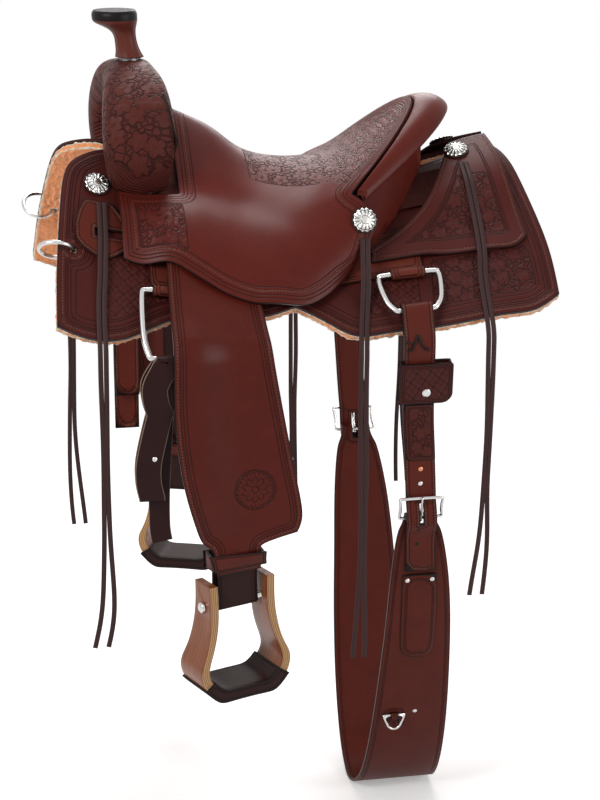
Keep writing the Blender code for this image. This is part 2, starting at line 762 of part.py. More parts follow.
def tree_cantle():
    """The cantle, the wooden board that the back of the seat is stretched over, standing on the bars."""
    rings = []
    for share in cantle_stations(12, 0.86):
        rim = rim_point(abs(share))
        rim.y = math.copysign(rim.y, share)
        foot = drape_height(rim.x, abs(rim.y)) - 0.005
        reach = mix(0.046, 0.022, abs(share))
        skin = SEAT_LEATHER * 1.6 + TOUCH_GAP
        steps = 3
        ring = []
        for k in range(steps + 1):
            x = rim.x - 0.003 - reach * k / steps
            t = (x - SEAT_FRONT_X) / (rim.x - SEAT_FRONT_X)
            ring.append(Vector((x, rim.y, seat_point(abs(share), t).z - skin)))
        ring.append(Vector((ring[-1].x, rim.y, foot)))
        ring.append(Vector((rim.x + CANTLE_BOARD, rim.y, foot)))
        ring.append(Vector((rim.x + CANTLE_BOARD - 0.001, rim.y, rim.z - 0.020)))
        rings.append(ring)
    board = loft("tree_cantle", rings, "rawhide")
    return combine(board, bars_cutter("cantle_seat", 0.0, 0.25, SEAT_GAP, 0.0066), "DIFFERENCE")


def cantle_back():
    """The leather down the cantle's back, rolled out over its rim into the wide roll."""
    rings = []
    for share in cantle_stations(16, 0.985):
        rim = rim_point(abs(share))
        rim.y = math.copysign(rim.y, share)
        rim.x += SEAT_LEATHER
        size = mix(1.0, 0.34, abs(share) ** 2.2)
        width = CANTLE_ROLL_WIDTH * size
        thick = CANTLE_ROLL_THICKNESS * mix(1.0, 0.60, abs(share) ** 2)
        back = CANTLE_BOARD - SEAT_LEATHER + TOUCH_GAP
        low = max(drape_height(rim.x, abs(rim.y)) - 0.005, rim.z - 0.135)
        low = min(low, rim.z - 0.024)
        profile = [
            (TOUCH_GAP, -0.0030),
            (0.0020, 0.0010),
            (width * 0.30, 0.0045 * size),
            (width * 0.62, 0.0030 * size),
            (width * 0.88, -0.0040 * size),
            (width, -0.0040 * size - thick * 0.50),
            (width * 0.92, -0.0040 * size - thick * 0.95),
            (max(width * 0.60, back + 0.0045), -0.0020 - thick * 0.95),
            (back + COVER_LEATHER, -0.0060 - thick * 0.80),
            (back + COVER_LEATHER, low - rim.z),
            (back, low - rim.z),
            (back, -0.0160),
            (TOUCH_GAP, -0.0100),
        ]
        rings.append([Vector((rim.x + px, rim.y, rim.z + pz)) for px, pz in profile])
    back = loft("cantle_back", rings, "leather")
    return combine(back, bars_cutter("cantle_back_seat", 0.0, 0.25, SEAT_GAP, 0.0070), "DIFFERENCE")


# Skirts, fleeces, back jockeys


def on_side(rows, lift):
    if callable(lift):
        return [[side_point(x, q, lift(x, q)) for x, q in row] for row in rows]
    return [[side_point(x, q, lift) for x, q in row] for row in rows]


def skirt(side):
    rows = coons(SKIRT_TOP, SKIRT_BOTTOM, SKIRT_FRONT, SKIRT_REAR, SKIRT_COLUMNS, SKIRT_ROWS)
    leather = sheet(f"skirt_{SIDE_NAMES[side]}", on_side(rows, 0.0), SKIRT_LEATHER, "tooled_leather", side, grow=-1)
    return combine(leather, breast_dee_hole(side, "skirt"), "DIFFERENCE")


def fleece(side):
    rows = coons(SKIRT_TOP, SKIRT_BOTTOM, SKIRT_FRONT, SKIRT_REAR, SKIRT_COLUMNS, SKIRT_ROWS)
    under = -SKIRT_LEATHER - 2 * TOUCH_GAP
    wool = sheet(f"fleece_{SIDE_NAMES[side]}", on_side(rows, under), FLEECE, "fleece", side, grow=-1)
    return combine(wool, breast_dee_hole(side, "fleece"), "DIFFERENCE")


def back_jockey_lift(x, q):
    """The back jockey's underside: on the rigging in front, on the bar's tail above, on the skirt below."""
    low = mix(RIGGING_LEATHER + 2 * LAYER_GAP + 0.0008, LAYER_GAP, smooth((x - 0.155) / 0.03))
    over_bar = BAR_TAIL_THICKNESS + 2 * LAYER_GAP + 0.0018
    return mix(over_bar, low, smooth((q - BAR_OUTER_Q - 0.004) / 0.030))


def back_jockey(side):
    """The rear housing, lying on the skirt and over the bar's tail."""
    down = (0.0, 0.28, 0.52, 0.76, 1.0)
    rows = coons(BACK_JOCKEY_TOP, BACK_JOCKEY_BOTTOM, BACK_JOCKEY_FRONT, BACK_JOCKEY_REAR, 9, down)
    name = f"back_jockey_{SIDE_NAMES[side]}"
    return sheet(name, on_side(rows, back_jockey_lift), JOCKEY_LEATHER, "tooled_leather", side)


def latigo_keeper():
    """The six-sided keeper with a slot, under the front concho on the near side."""
    levels = (0.118, 0.131, 0.144, 0.1465, 0.1540, 0.157, 0.166, 0.175)
    front = ((0.118, -0.332), (0.131, -0.343), (0.150, -0.350), (0.157, -0.350), (0.168, -0.340), (0.175, -0.320))
    rear = ((0.118, -0.296), (0.131, -0.282), (0.148, -0.272), (0.157, -0.274), (0.168, -0.286), (0.175, -0.306))
    shares = (0.0, 0.2, 0.36, 0.5, 0.72, 0.88, 1.0)
    rows = [[(mix(along(front, q), along(rear, q), s), q) for s in shares] for q in levels]

    def slot(i, j):
        return 2 <= i <= 4 and j == 3

    return sheet("latigo_keeper", on_side(rows, LAYER_GAP), RIGGING_LEATHER, "leather", NEAR, skip=slot)


def dee_drop(angle, width, drop, corner=0.010):
    """How far along its bar, and how far from it, the bow lies at an angle round the dee: straight in its middle."""
    along_bar = math.cos(angle)
    share = max(0.0, (abs(along_bar) - DEE_FLAT) / (1 - DEE_FLAT))
    return width / 2 * along_bar, corner + (drop - corner) * (1 - share**2.2) ** 0.6


# Dees and rigging


def dee_outline(width, drop, corner=0.010):
    """Points of a dee in (along its bar, away from it): a straight bar and a bow with round shoulders."""
    half = width / 2
    points = [(-half + corner, 0.0), (half - corner, 0.0), (half - 0.2 * corner, 0.35 * corner), (half, corner)]
    points += [dee_drop(math.radians(turn), width, drop) for turn in DEE_TURNS]
    points += [(-half, corner), (-half + 0.2 * corner, 0.35 * corner)]
    return points


def dee_place(x, q, lean, along_bar, away, out=0.0):
    """A point of a dee that hangs at (x, q) and leans on the skirt."""
    centre, axis, normal, down = lay_frame(x, q, DEE_LIFT)
    return centre + axis * along_bar + (down * math.cos(lean) - normal * math.sin(lean)) * away + normal * out


def dee(name, side, x, q, lean, width, drop):
    points = [mirrored(dee_place(x, q, lean, a, d), side) for a, d in dee_outline(width, drop)]
    ring = wire(name, points, DEE_WIRE, "steel", cyclic=True)
    set_origin(ring, mirrored(dee_place(x, q, lean, 0, 0), side))
    return ring


def leather_roll(name, side, frame, bar, width):
    """A leather end rolled round a bar of radius bar, as a cutter to join to its plate."""
    centre, axis, normal, down = frame
    inner, outer = bar + TOUCH_GAP, bar + TOUCH_GAP + ROLL_LEATHER
    turns = 9
    start, turn = math.radians(-105), math.radians(325)
    section = []
    for radius, angles in ((outer, range(turns + 1)), (inner, range(turns, -1, -1))):
        for k in angles:
            angle = start - turn * k / turns
            section.append(down * radius * math.cos(angle) + normal * radius * math.sin(angle))
    rings = []
    for along_bar in (-width / 2, width / 2):
        rings.append([mirrored(centre + axis * along_bar + offset, side) for offset in section])
    return loft(name, rings, home=CUTTERS)


def rigging_leather(side):
    """The rigging plate on one side, with an end rolled round each dee's bar."""
    name = f"rigging_{SIDE_NAMES[side]}"
    columns = 9
    rows = []
    for t in (0.0, 0.5, 1.0):
        row = []
        for i in range(columns + 1):
            u = i / columns
            x = mix(FRONT_DEE_X - ROLL_WIDTH / 2, REAR_DEE_X + ROLL_WIDTH / 2, u)
            low = mix(FRONT_DEE_Q, REAR_DEE_Q, u) - ROLL_START
            row.append((x, mix(PLATE_TOP_Q, low, t)))
        rows.append(row)
    plate = sheet(name, on_side(rows, LAYER_GAP), RIGGING_LEATHER, "leather", side)
    for where, x, q in (("front", FRONT_DEE_X, FRONT_DEE_Q), ("rear", REAR_DEE_X, REAR_DEE_Q)):
        roll = leather_roll(f"{name}_{where}_roll", side, lay_frame(x, q, DEE_LIFT), DEE_WIRE, ROLL_WIDTH)
        combine(plate, roll, "UNION")
    return plate


def breast_dee_frame():
    """Middle of the ring's hole, the way it points forward, and the leather's normal there."""
    middle = -(SKIRT_LEATHER + FLEECE) / 2
    hole, axis, normal, _ = lay_frame(BREAST_DEE_X, BREAST_DEE_Q, middle)
    return hole, -axis, normal


def breast_dee_hole(side, piece):
    """The hole that the breast collar ring passes through."""
    hole, _, normal = breast_dee_frame()
    across = normal.orthogonal().normalized()
    other = normal.cross(across)
    radius = BREAST_DEE_WIRE + 0.0026
    rings = []
    for depth in (-0.020, 0.020):
        ring = []
        for k in range(8):
            angle = 2 * math.pi * k / 8
            ring.append(mirrored(hole + normal * depth + (across * math.cos(angle) + other * math.sin(angle)) * radius, side))
        rings.append(ring)
    return loft(f"breast_dee_hole_{piece}_{SIDE_NAMES[side]}", rings, home=CUTTERS)


def breast_dee(side):
    """The breast collar ring, through a hole near the skirt's front edge."""
    hole, forward, normal = breast_dee_frame()
    centre = hole + forward * BREAST_DEE_RADIUS
    points = []
    for k in range(16):
        angle = 2 * math.pi * k / 16
        offset = (forward * math.cos(angle) + normal * math.sin(angle)) * BREAST_DEE_RADIUS
        points.append(mirrored(centre + offset, side))
    ring = wire(f"breast_dee_{SIDE_NAMES[side]}", points, BREAST_DEE_WIRE, "steel", cyclic=True, resolution=1)
    set_origin(ring, mirrored(hole, side))
    return ring


def fender_lift(x, q):
    """The fender's underside, raised in front, where it covers the front dee and its strap."""
    over_dee = smooth((OVER_DEE_X - x) / FENDER_RISE) * smooth((STRAP_END_Q - q) / STRAP_FADE)
    return mix(FENDER_LIFT, mix(FENDER_OVER_DEE, FENDER_OVER_STRAP, smooth((q - STRAP_START_Q) / 0.035)), over_dee)


# Fenders, stirrup leathers, stirrups


def stirrup_axes():
    """The off-side stirrup's directions: along its bolt (to the front), and across its tread."""
    bolt = Vector((-math.cos(STIRRUP_TWIST), math.sin(STIRRUP_TWIST), 0))
    across = Vector((math.sin(STIRRUP_TWIST), math.cos(STIRRUP_TWIST), 0))
    return bolt, across


def bolt_centre():
    hang = side_point(LEATHER_X, hang_q(LEATHER_X, STIRRUP_BOLT_Z), 0)
    return Vector((LEATHER_X, hang.y + LEATHER_LIFT - BOLT_RADIUS - TOUCH_GAP, STIRRUP_BOLT_Z))


def neck_row(z, half, lift, columns):
    """A row of points across the leathers under the fender, turning to the bolt's line as it goes down."""
    angle = STIRRUP_TWIST * smooth((NECK_TOP_Z - z) / (NECK_TOP_Z - NECK_HEIGHTS[-1]))
    hang = side_point(LEATHER_X, hang_q(LEATHER_X, z), 0)
    width = Vector((math.cos(angle), -math.sin(angle), 0))
    out = Vector((math.sin(angle), math.cos(angle), 0))
    centre = Vector((LEATHER_X, hang.y, z)) + out * lift
    return [centre + width * mix(-half, half, i / columns) for i in range(columns + 1)]


def stirrup_leather(side):
    """The stirrup leather: down under the fender, round the bolt and back up to the hobble."""
    half = LEATHER_WIDTH / 2
    around = BOLT_RADIUS + TOUCH_GAP
    bolt = bolt_centre()
    direction, across = stirrup_axes()
    rows = []
    for q in (FENDER_TOP_Q - 0.036, FENDER_TOP_Q - 0.018, *FENDER_ROWS[:-2]):
        rows.append([side_point(LEATHER_X + s * half, q, LEATHER_LIFT) for s in (-1, 1)])
    for z in (NECK_TOP_Z, *NECK_HEIGHTS, STIRRUP_BOLT_Z + 0.014):
        rows.append(neck_row(z, mix(half, NECK_HALF_WIDTH, 0.5), LEATHER_LIFT, 1))
    for k in range(7):
        angle = math.pi * k / 6
        base = bolt + across * around * math.cos(angle) - Vector((0, 0, around * math.sin(angle)))
        rows.append([base - direction * s * NECK_HALF_WIDTH for s in (-1, 1)])
    for z in NECK_HEIGHTS[::-1]:
        back = LEATHER_LIFT - 2 * around - 0.003 * smooth((z - NECK_HEIGHTS[-1]) / 0.03)
        rows.append(neck_row(z, NECK_HALF_WIDTH, back, 1))
    return sheet(f"stirrup_leather_{SIDE_NAMES[side]}", rows, STRAP_LEATHER, "dark_leather", side, up=Vector((0, 1, 0.2)))


def fender(side):
    """The fender, sewn over the stirrup leather, with its neck turned to the stirrup."""
    rows = []
    columns = 4
    for q in FENDER_ROWS:
        v = (q - FENDER_TOP_Q) / FENDER_LENGTH
        row = []
        for i in range(columns + 1):
            x = mix(along(FENDER_FRONT, v), along(FENDER_REAR, v), i / columns)
            row.append(side_point(x, q, fender_lift(x, q)))
        rows.append(row)
    rows.append(neck_row(NECK_TOP_Z - 0.004, 0.045, FENDER_LIFT, columns))
    for z in NECK_HEIGHTS:
        rows.append(neck_row(z, NECK_HALF_WIDTH + 0.002, FENDER_LIFT, columns))
    return sheet(f"fender_{SIDE_NAMES[side]}", rows, FENDER_LEATHER, "leather", side, up=Vector((0, 1, 0.2)))


def stirrup_outline(offset):
    """The bow's line in (along the bolt, height), from its front top down and round to its rear top."""
    top, bottom = STIRRUP_TOP_WIDTH / 2 + offset, STIRRUP_BOTTOM_WIDTH / 2 + offset
    floor = -STIRRUP_BELOW_BOLT + STIRRUP_WOOD - offset
    half = [
        (top, STIRRUP_ABOVE_BOLT),
        (top, -0.014),
        (mix(top, bottom, 0.45), floor * 0.45),
        (bottom, floor + 0.036 + offset),
        (bottom - 0.006, floor + 0.016 + offset * 0.4),
        (bottom - 0.022 - offset * 0.4, floor + 0.002),
        (0.45 * (bottom - 0.022), floor),
    ]
    return half + [(-a, h) for a, h in half[::-1]]


def stirrup_point(side, a, b, h):
    direction, across = stirrup_axes()
    return mirrored(bolt_centre() + direction * a + across * b + Vector((0, 0, h)), side)


def stirrup_depth(h):
    """Half the wood's depth at a height over the bolt."""
    floor = -STIRRUP_BELOW_BOLT
    share = smooth((STIRRUP_ABOVE_BOLT - h) / (STIRRUP_ABOVE_BOLT - floor))
    return mix(STIRRUP_DEPTH_TOP, STIRRUP_DEPTH_TREAD, share) / 2


def stirrup(side):
    """The bent oak bow, wider at the tread, drilled for the bolt."""
    outer = stirrup_outline(STIRRUP_WOOD)
    inner = stirrup_outline(0.0)
    rings = []
    for (ao, ho), (ai, hi) in zip(outer, inner):
        ring = []
        depth_o, depth_i = stirrup_depth(ho), stirrup_depth(hi)
        for a, h, b in ((ao, ho, -depth_o), (ao, ho, depth_o), (ai, hi, depth_i), (ai, hi, -depth_i)):
            ring.append(stirrup_point(side, a, b, h))
        rings.append(ring)
    bow = loft(f"stirrup_{SIDE_NAMES[side]}", rings, "wood")
    length = STIRRUP_TOP_WIDTH + 4 * STIRRUP_WOOD
    drill = bolt_body(side, BOLT_RADIUS + TOUCH_GAP, length, f"bolt_drill_{SIDE_NAMES[side]}", CUTTERS)
    return combine(bow, drill, "DIFFERENCE")


def bolt_body(side, radius, length, name, home=None, kind=None):
    half = length / 2
    rings = []
    for a in (-half, half):
        ring = []
        for k in range(16):
            angle = 2 * math.pi * k / 16
            ring.append(stirrup_point(side, a, radius * math.cos(angle), radius * math.sin(angle)))
        rings.append(ring)
    return loft(name, rings, kind, home)


def stirrup_bolt(side):
    """The bolt through both sides of the stirrup, with a round head at each end."""
    seat = STIRRUP_TOP_WIDTH / 2 + STIRRUP_WOOD + TOUCH_GAP
    half = [
        (seat, BOLT_RADIUS),
        (seat, BOLT_HEAD_RADIUS),
        (seat + 0.0035, BOLT_HEAD_RADIUS * 0.88),
        (seat + 0.0050, BOLT_HEAD_RADIUS * 0.55),
    ]
    profile = [(-a, radius) for a, radius in half[::-1]] + half
    rings = []
    for a, radius in profile:
        ring = []
        for k in range(12):
            angle = 2 * math.pi * k / 12
            ring.append(stirrup_point(side, a, radius * math.cos(angle), radius * math.sin(angle)))
        rings.append(ring)
    return loft(f"stirrup_bolt_{SIDE_NAMES[side]}", rings, "steel")


def tread_cover(side):
    """The leather laced round the tread."""
    outer = stirrup_outline(STIRRUP_WOOD + TOUCH_GAP)[4:-4]
    inner = stirrup_outline(-TOUCH_GAP)[4:-4]
    rows = []
    for (ao, ho), (ai, hi) in zip(outer, inner):
        depth_o, depth_i = stirrup_depth(ho) + TOUCH_GAP, stirrup_depth(hi) + TOUCH_GAP
        corners = ((ao, ho, -depth_o), (ao, ho, depth_o), (ai, hi, depth_i), (ai, hi, -depth_i))
        rows.append([stirrup_point(OFF, a, b, h) for a, h, b in corners])
    return sheet(f"tread_cover_{SIDE_NAMES[side]}", rows, TREAD_LEATHER, "dark_leather", side, wrap=True)


def rounded_loop(half, low, high, corner, steps=2):
    """A rounded rectangle about the origin's first axis, as points in order."""
    points = []
    for cu, cw, start in ((1, 1, 0), (-1, 1, 90), (-1, -1, 180), (1, -1, 270)):
        centre_u = cu * (half - corner)
        centre_w = (high if cw > 0 else low) - cw * corner
        for k in range(steps + 1):
            angle = math.radians(start + 90 * k / steps)
            points.append((centre_u + corner * math.cos(angle), centre_w + corner * math.sin(angle)))
    return points


def hobble_strap(side):
    """The strap round the leathers and the fender's neck, just over the stirrup."""
    low = LEATHER_LIFT - 2 * (BOLT_RADIUS + TOUCH_GAP) - STRAP_LEATHER - 0.003 - 2 * LAYER_GAP
    high = FENDER_LIFT + FENDER_LEATHER + LAYER_GAP
    loop = rounded_loop(NECK_HALF_WIDTH + 0.0045, low, high, 0.003)
    rows = []
    for z in (HOBBLE_Z + HOBBLE_HEIGHT / 2, NECK_HEIGHTS[1], NECK_HEIGHTS[2], HOBBLE_Z - HOBBLE_HEIGHT / 2):
        start, end = neck_row(z, 1.0, 0.0, 1)
        centre = (start + end) / 2
        width = (end - start) / 2
        out = Vector((-width.y, width.x, 0))
        rows.append([centre + width * u + out * w for u, w in loop])
    return sheet(f"hobble_strap_{SIDE_NAMES[side]}", rows, 0.0030, "dark_leather", side, wrap=True)


def bow_columns(x, q, lean, width, drop):
    """Points across the straight middle of the bow, where a strap hangs."""
    reach = width / 2 * (DEE_FLAT - 0.02)
    return [dee_place(x, q, lean, reach * s, drop) for s in (-1, 0, 1)]


# Latigo, off billet


def hanging_strap(name, side, tail_z, back_z, kind):
    """A strap hung over the bow of the front dee: a long outer tail, and a shorter run behind it."""
    bow = bow_columns(FRONT_DEE_X, FRONT_DEE_Q, FRONT_DEE_LEAN, FRONT_DEE_WIDTH, FRONT_DEE_DROP)
    middle = bow[1]
    radius = DEE_WIRE + 3 * TOUCH_GAP

    def level(depth, out):
        flat = smooth(depth / 0.06)
        return [Vector((p.x, p.y + out, mix(p.z, middle.z, flat) - depth)) for p in bow]

    run = (0.010, 0.030, 0.060)
    back, tail = middle.z - back_z, middle.z - tail_z
    rows = [level(depth, -radius - 2 * LAYER_GAP) for depth in (back, mix(0.06, back, 0.4), *run[::-1])]
    for k in range(7):
        angle = math.pi - math.pi * k / 6
        turn = Vector((0, radius * math.cos(angle), radius * 1.25 * math.sin(angle)))
        rows.append([p + turn for p in bow])
    rows += [level(depth, radius) for depth in (*run, mix(0.06, tail, 0.4), tail)]
    return sheet(name, rows, STRAP_LEATHER, kind, side, up=Vector((0, 1, 0.3)))


# Flank cinch


def cinch_y(z):
    return CINCH_SAG * math.acosh(max(1.0, (z - CINCH_BOTTOM_Z) / CINCH_SAG + 1))


def cinch_x(z):
    return mix(CINCH_X_TOP, CINCH_X_BOTTOM, smooth((-0.08 - z) / 0.55))


def cinch_place(z, lift, along_x=0.0):
    """A point on the cinch's catenary at height z, lifted off its inner line."""
    y = cinch_y(z)
    slope = math.atan2(math.sinh(y / CINCH_SAG), 1.0)
    return Vector((cinch_x(z) + along_x, y + lift * math.sin(slope), z - lift * math.cos(slope)))


def cinch_stations():
    """Points (y, z) down one side, close together where the catenary turns."""
    y_top = cinch_y(BUCKLE_Z - 0.014)
    stations = []
    for k in range(CINCH_STATIONS + 1):
        y = y_top * math.sin(math.pi / 2 * (1 - k / CINCH_STATIONS))
        stations.append((y, CINCH_BOTTOM_Z + CINCH_SAG * (math.cosh(y / CINCH_SAG) - 1)))
    return stations


def billet_base():
    """Points (y, z) under the billets, from the rear dee's bow over the skirt's edge to the cinch's line."""
    x = REAR_DEE_X
    bow_q = REAR_DEE_Q + REAR_DEE_DROP * math.cos(drape_angle(x, REAR_DEE_Q))
    edge = side_point(x, SKIRT_REACH, BILLET_GAP)
    points = [side_point(x, q, BILLET_GAP) for q in (bow_q, mix(bow_q, SKIRT_REACH, 0.5))] + [edge]
    points += [edge + Vector((0, 0.0050, -0.014)), edge + Vector((0, 0.0030, -0.040))]
    points += [Vector((x, cinch_y(z), z)) for z in (-0.24, -0.31, -0.37)]
    return [(p.y, p.z) for p in points]


def billet_place(t, lift):
    """A point over the billets' base line, from the dee's bow (0) to just over the buckle (1)."""
    base = billet_base()
    y, z = through(base, t)
    before, after = through(base, max(0.0, t - 0.02)), through(base, min(1.0, t + 0.02))
    run = Vector((0, after[0] - before[0], after[1] - before[1])).normalized()
    return Vector((cinch_x(z), y - run.z * lift, z + run.y * lift))


def snap_keeper():
    """The flat keeper sewn round the near billet, with a pocket behind it that a snap closes."""
    rows = []
    middle, half = (KEEPER_FRONT + KEEPER_REAR) / 2, (KEEPER_REAR - KEEPER_FRONT) / 2
    loop = rounded_loop(half, -2 * TOUCH_GAP, BILLET_TOGETHER + STRAP_LEATHER + 4 * TOUCH_GAP, 0.003)
    for share in (0.0, 0.5, 1.0):
        height = KEEPER_Z + KEEPER_HEIGHT * (0.5 - share)
        low, high = 0.0, 1.0
        for _ in range(30):
            t = (low + high) / 2
            low, high = (t, high) if billet_place(t, 0.0).z > height else (low, t)
        inner, outer = billet_place(t, 0.0), billet_place(t, 1.0)
        out = outer - inner
        rows.append([inner + Vector((middle + u, 0, 0)) + out * w for u, w in loop])
    return sheet("snap_keeper", rows, KEEPER_LEATHER, "leather", NEAR, wrap=True)


def flank_cinch():
    """Rows down one side of the cinch, from the turn round its buckle's foot to the middle of the belly."""
    shares = (-1, -0.24, 0.24, 1)
    wrap_half = CINCH_HALF_WIDTHS[0][1] * 0.86
    inner = BUCKLE_WIRE + 2 * TOUCH_GAP
    bar = cinch_place(BUCKLE_Z, BUCKLE_FOOT_LIFT)
    rows = []
    for k in range(7):
        angle = math.radians(-25 + 205 * k / 6)
        offset = Vector((0, inner * math.cos(angle), inner * math.sin(angle)))
        rows.append([bar + offset + Vector((s * wrap_half, 0, 0)) for s in shares])
    total = len(cinch_stations()) - 1
    for k, (y, z) in enumerate(cinch_stations()):
        width = along(CINCH_HALF_WIDTHS, k / total)
        place = cinch_place(z, CINCH_LEATHER)
        rows.append([Vector((cinch_x(z) + s * width, place.y, place.z)) for s in shares])
    return rows


def cinch_body():
    """The wide flank cinch, one leather from buckle to buckle, notched for each tongue, with a chape for its ring."""
    half = flank_cinch()
    rows = half + [[Vector((p.x, -p.y, p.z)) for p in row] for row in half[::-1][1:]]
    last = len(rows) - 2

    def tongue_notch(i, j):
        return i == 1 and (j < 7 or j > last - 7)

    cinch = sheet("flank_cinch", rows, CINCH_LEATHER, "leather", skip=tongue_notch, up=Vector((0, 0, -1)), grow=-1)
    chape = leather_roll("cinch_chape", NEAR, ring_frame(), RING_WIRE, RING_CHAPE)
    return combine(cinch, chape, "UNION")


def flank_billet(side):
    """The billet: folded over the dee's bow, and run down behind the buckle's head and over its foot."""
    bow = bow_columns(REAR_DEE_X, REAR_DEE_Q, REAR_DEE_LEAN, REAR_DEE_WIDTH, REAR_DEE_DROP)
    _, _, normal, down = lay_frame(REAR_DEE_X, REAR_DEE_Q, DEE_LIFT)
    radius = DEE_WIRE + 2 * TOUCH_GAP
    tall = radius * 1.25
    middle = bow[1]

    def straight(place):
        return [Vector((place.x + p.x - middle.x, place.y, place.z)) for p in bow]

    rows = [straight(billet_place(t, STRAP_LEATHER)) for t in (BILLET_BACK_END, 0.24, 0.14, 0.07)]
    for k in range(6):
        angle = math.radians(270 - 180 * k / 5)
        rows.append([p + down * tall * math.cos(angle) + normal * radius * math.sin(angle) for p in bow])
    over = DEE_LIFT - BILLET_GAP + radius
    for t, settle in ((0.05, 0.25), (0.12, 0.80), (0.22, 1.0), (BILLET_BACK_END, 1.0)):
        rows.append(straight(billet_place(t, mix(over, BILLET_TOGETHER, smooth(settle)))))
    for t in (0.70, 0.88):
        share = (t - BILLET_BACK_END) / (1 - BILLET_BACK_END)
        rows.append(straight(billet_place(t, mix(BILLET_TOGETHER, BILLET_RUN[0][1], smooth(share)))))
    for z, lift in BILLET_RUN:
        rows.append(straight(cinch_place(z, lift)))
    name = f"flank_billet_{SIDE_NAMES[side]}"
    billet = sheet(name, rows, STRAP_LEATHER, "leather", side, up=Vector((0, 1, 0)))
    return combine(billet, tongue_slot(side), "DIFFERENCE")


def tongue_slot(side):
    """The hole in the billet that the tongue comes out through."""
    low, high = BUCKLE_Z - 0.007, BUCKLE_Z + 0.026
    half = TONGUE_WIRE + 0.0010
    rings = []
    for lift in (-0.004, 0.034):
        corners = ((low, -half), (low, half), (high, half), (high, -half))
        rings.append([mirrored(cinch_place(z, lift, a), side) for z, a in corners])
    return loft(f"tongue_slot_{SIDE_NAMES[side]}", rings, home=CUTTERS)


def buckle(side):
    """The buckle's frame: its foot held in the cinch's end, its head over the billet."""
    half = BUCKLE_WIDTH / 2
    corner = 0.006
    outline = (
        (-half + corner, 0), (half - corner, 0), (half, corner), (half, BUCKLE_HEIGHT - corner),
        (half - corner, BUCKLE_HEIGHT), (-half + corner, BUCKLE_HEIGHT), (-half, BUCKLE_HEIGHT - corner), (-half, corner),
    )
    points = []
    for a, h in outline:
        lift = mix(BUCKLE_FOOT_LIFT, BUCKLE_HEAD_LIFT, h / BUCKLE_HEIGHT)
        points.append(mirrored(cinch_place(BUCKLE_Z + h, lift, a), side))
    return wire(f"buckle_{SIDE_NAMES[side]}", points, BUCKLE_WIRE, "steel", cyclic=True)


def buckle_tongue(side):
    """The tongue: an eye round the buckle's foot, and a prong out over its head."""
    centre = cinch_place(BUCKLE_Z, BUCKLE_FOOT_LIFT)
    eye = BUCKLE_WIRE + TOUCH_GAP + TONGUE_WIRE
    points = []
    for k in range(6):
        angle = math.radians(-95 + 135 * k / 5)
        points.append(centre + Vector((0, eye * math.cos(angle), eye * math.sin(angle))))
    head = BUCKLE_HEAD_LIFT + BUCKLE_WIRE + TONGUE_WIRE + 4 * TOUCH_GAP
    tip = cinch_place(BUCKLE_Z + BUCKLE_HEIGHT + 0.004, head)
    points += [points[-1].lerp(tip, 0.5), tip]
    tongue = wire(f"buckle_tongue_{SIDE_NAMES[side]}", [mirrored(p, side) for p in points], TONGUE_WIRE, "steel", resolution=1)
    set_origin(tongue, mirrored(centre, side))
    return tongue


def cinch_ring():
    """The small dee on the near face of the cinch, for the strap that ties it to a front cinch."""
    bar, _, _, _ = ring_frame()
    points = []
    for k in range(9):
        angle = math.pi * k / 8
        points.append(Vector((RING_WIDTH / 2 * math.cos(angle), 0, -RING_DROP * math.sin(angle) ** 0.8)))
    ring = wire("cinch_ring", [mirrored(bar + p, NEAR) for p in points], RING_WIRE, "steel", cyclic=True, resolution=1)
    set_origin(ring, mirrored(bar, NEAR))
    return ring


def ring_frame():
    """Centre of the cinch ring's bar, its axis, the cinch's outward normal there and the way down the cinch."""
    centre = cinch_place(RING_Z, CINCH_LEATHER + TOUCH_GAP + RING_WIRE, RING_X)
    normal = (cinch_place(RING_Z, 1.0, RING_X) - cinch_place(RING_Z, 0.0, RING_X)).normalized()
    axis = Vector((1, 0, 0))
    return centre, axis, normal, normal.cross(axis)


# Conchos and strings


def concho(name, side, centre, normal):
    """A scalloped silver concho on its leather rosette."""
    side_normal = mirrored(normal, side).normalized()
    across = side_normal.orthogonal().normalized()
    other = side_normal.cross(across)
    place = mirrored(centre, side)
    lobes = 8
    count = 2 * lobes
    profile = (
        (ROSETTE_RADIUS, 0.0, 0.04), (ROSETTE_RADIUS, 0.0022, 0.04), (CONCHO_RADIUS, 0.0028, 0.05),
        (CONCHO_RADIUS * 0.92, 0.0046, 0.05), (CONCHO_RADIUS * 0.50, 0.0064, 0.0),
    )
    rings = []
    for radius, height, scallop in profile:
        ring = []
        for k in range(count):
            angle = 2 * math.pi * k / count
            r = radius * (1 + scallop * math.cos(lobes * angle))
            ring.append(place + across * r * math.cos(angle) + other * r * math.sin(angle) + side_normal * height)
        rings.append(ring)
    return loft(name, rings, "steel")


def string(name, side, laid, z_bottom, split_z):
    """A pair of saddle strings, side by side, parting into two tips.

    laid are the points down to where the strings hang free, at their inner face.
    """
    half = STRING_WIDTH / 2
    last = laid[-1]
    rows = [(point, 0.0) for point in laid]
    for z, part in ((mix(last.z, split_z, 0.5), 0.0), (split_z, 0.0), (mix(split_z, z_bottom, 0.5), 0.005), (z_bottom, 0.009)):
        rows.append((Vector((last.x, last.y, z)), part))
    split = len(rows) - 3
    grid = []
    for point, part in rows:
        inner = 0.0009 + part
        grid.append([point + Vector((a, 0, 0)) for a in (-half - part, -inner, inner, half + part)])

    def parted(i, j):
        return i == 1 and j >= split

    return sheet(name, grid, STRING_THICKNESS, "string_leather", side, skip=parted, up=Vector((0, 1, 0.3)))


# Assembly


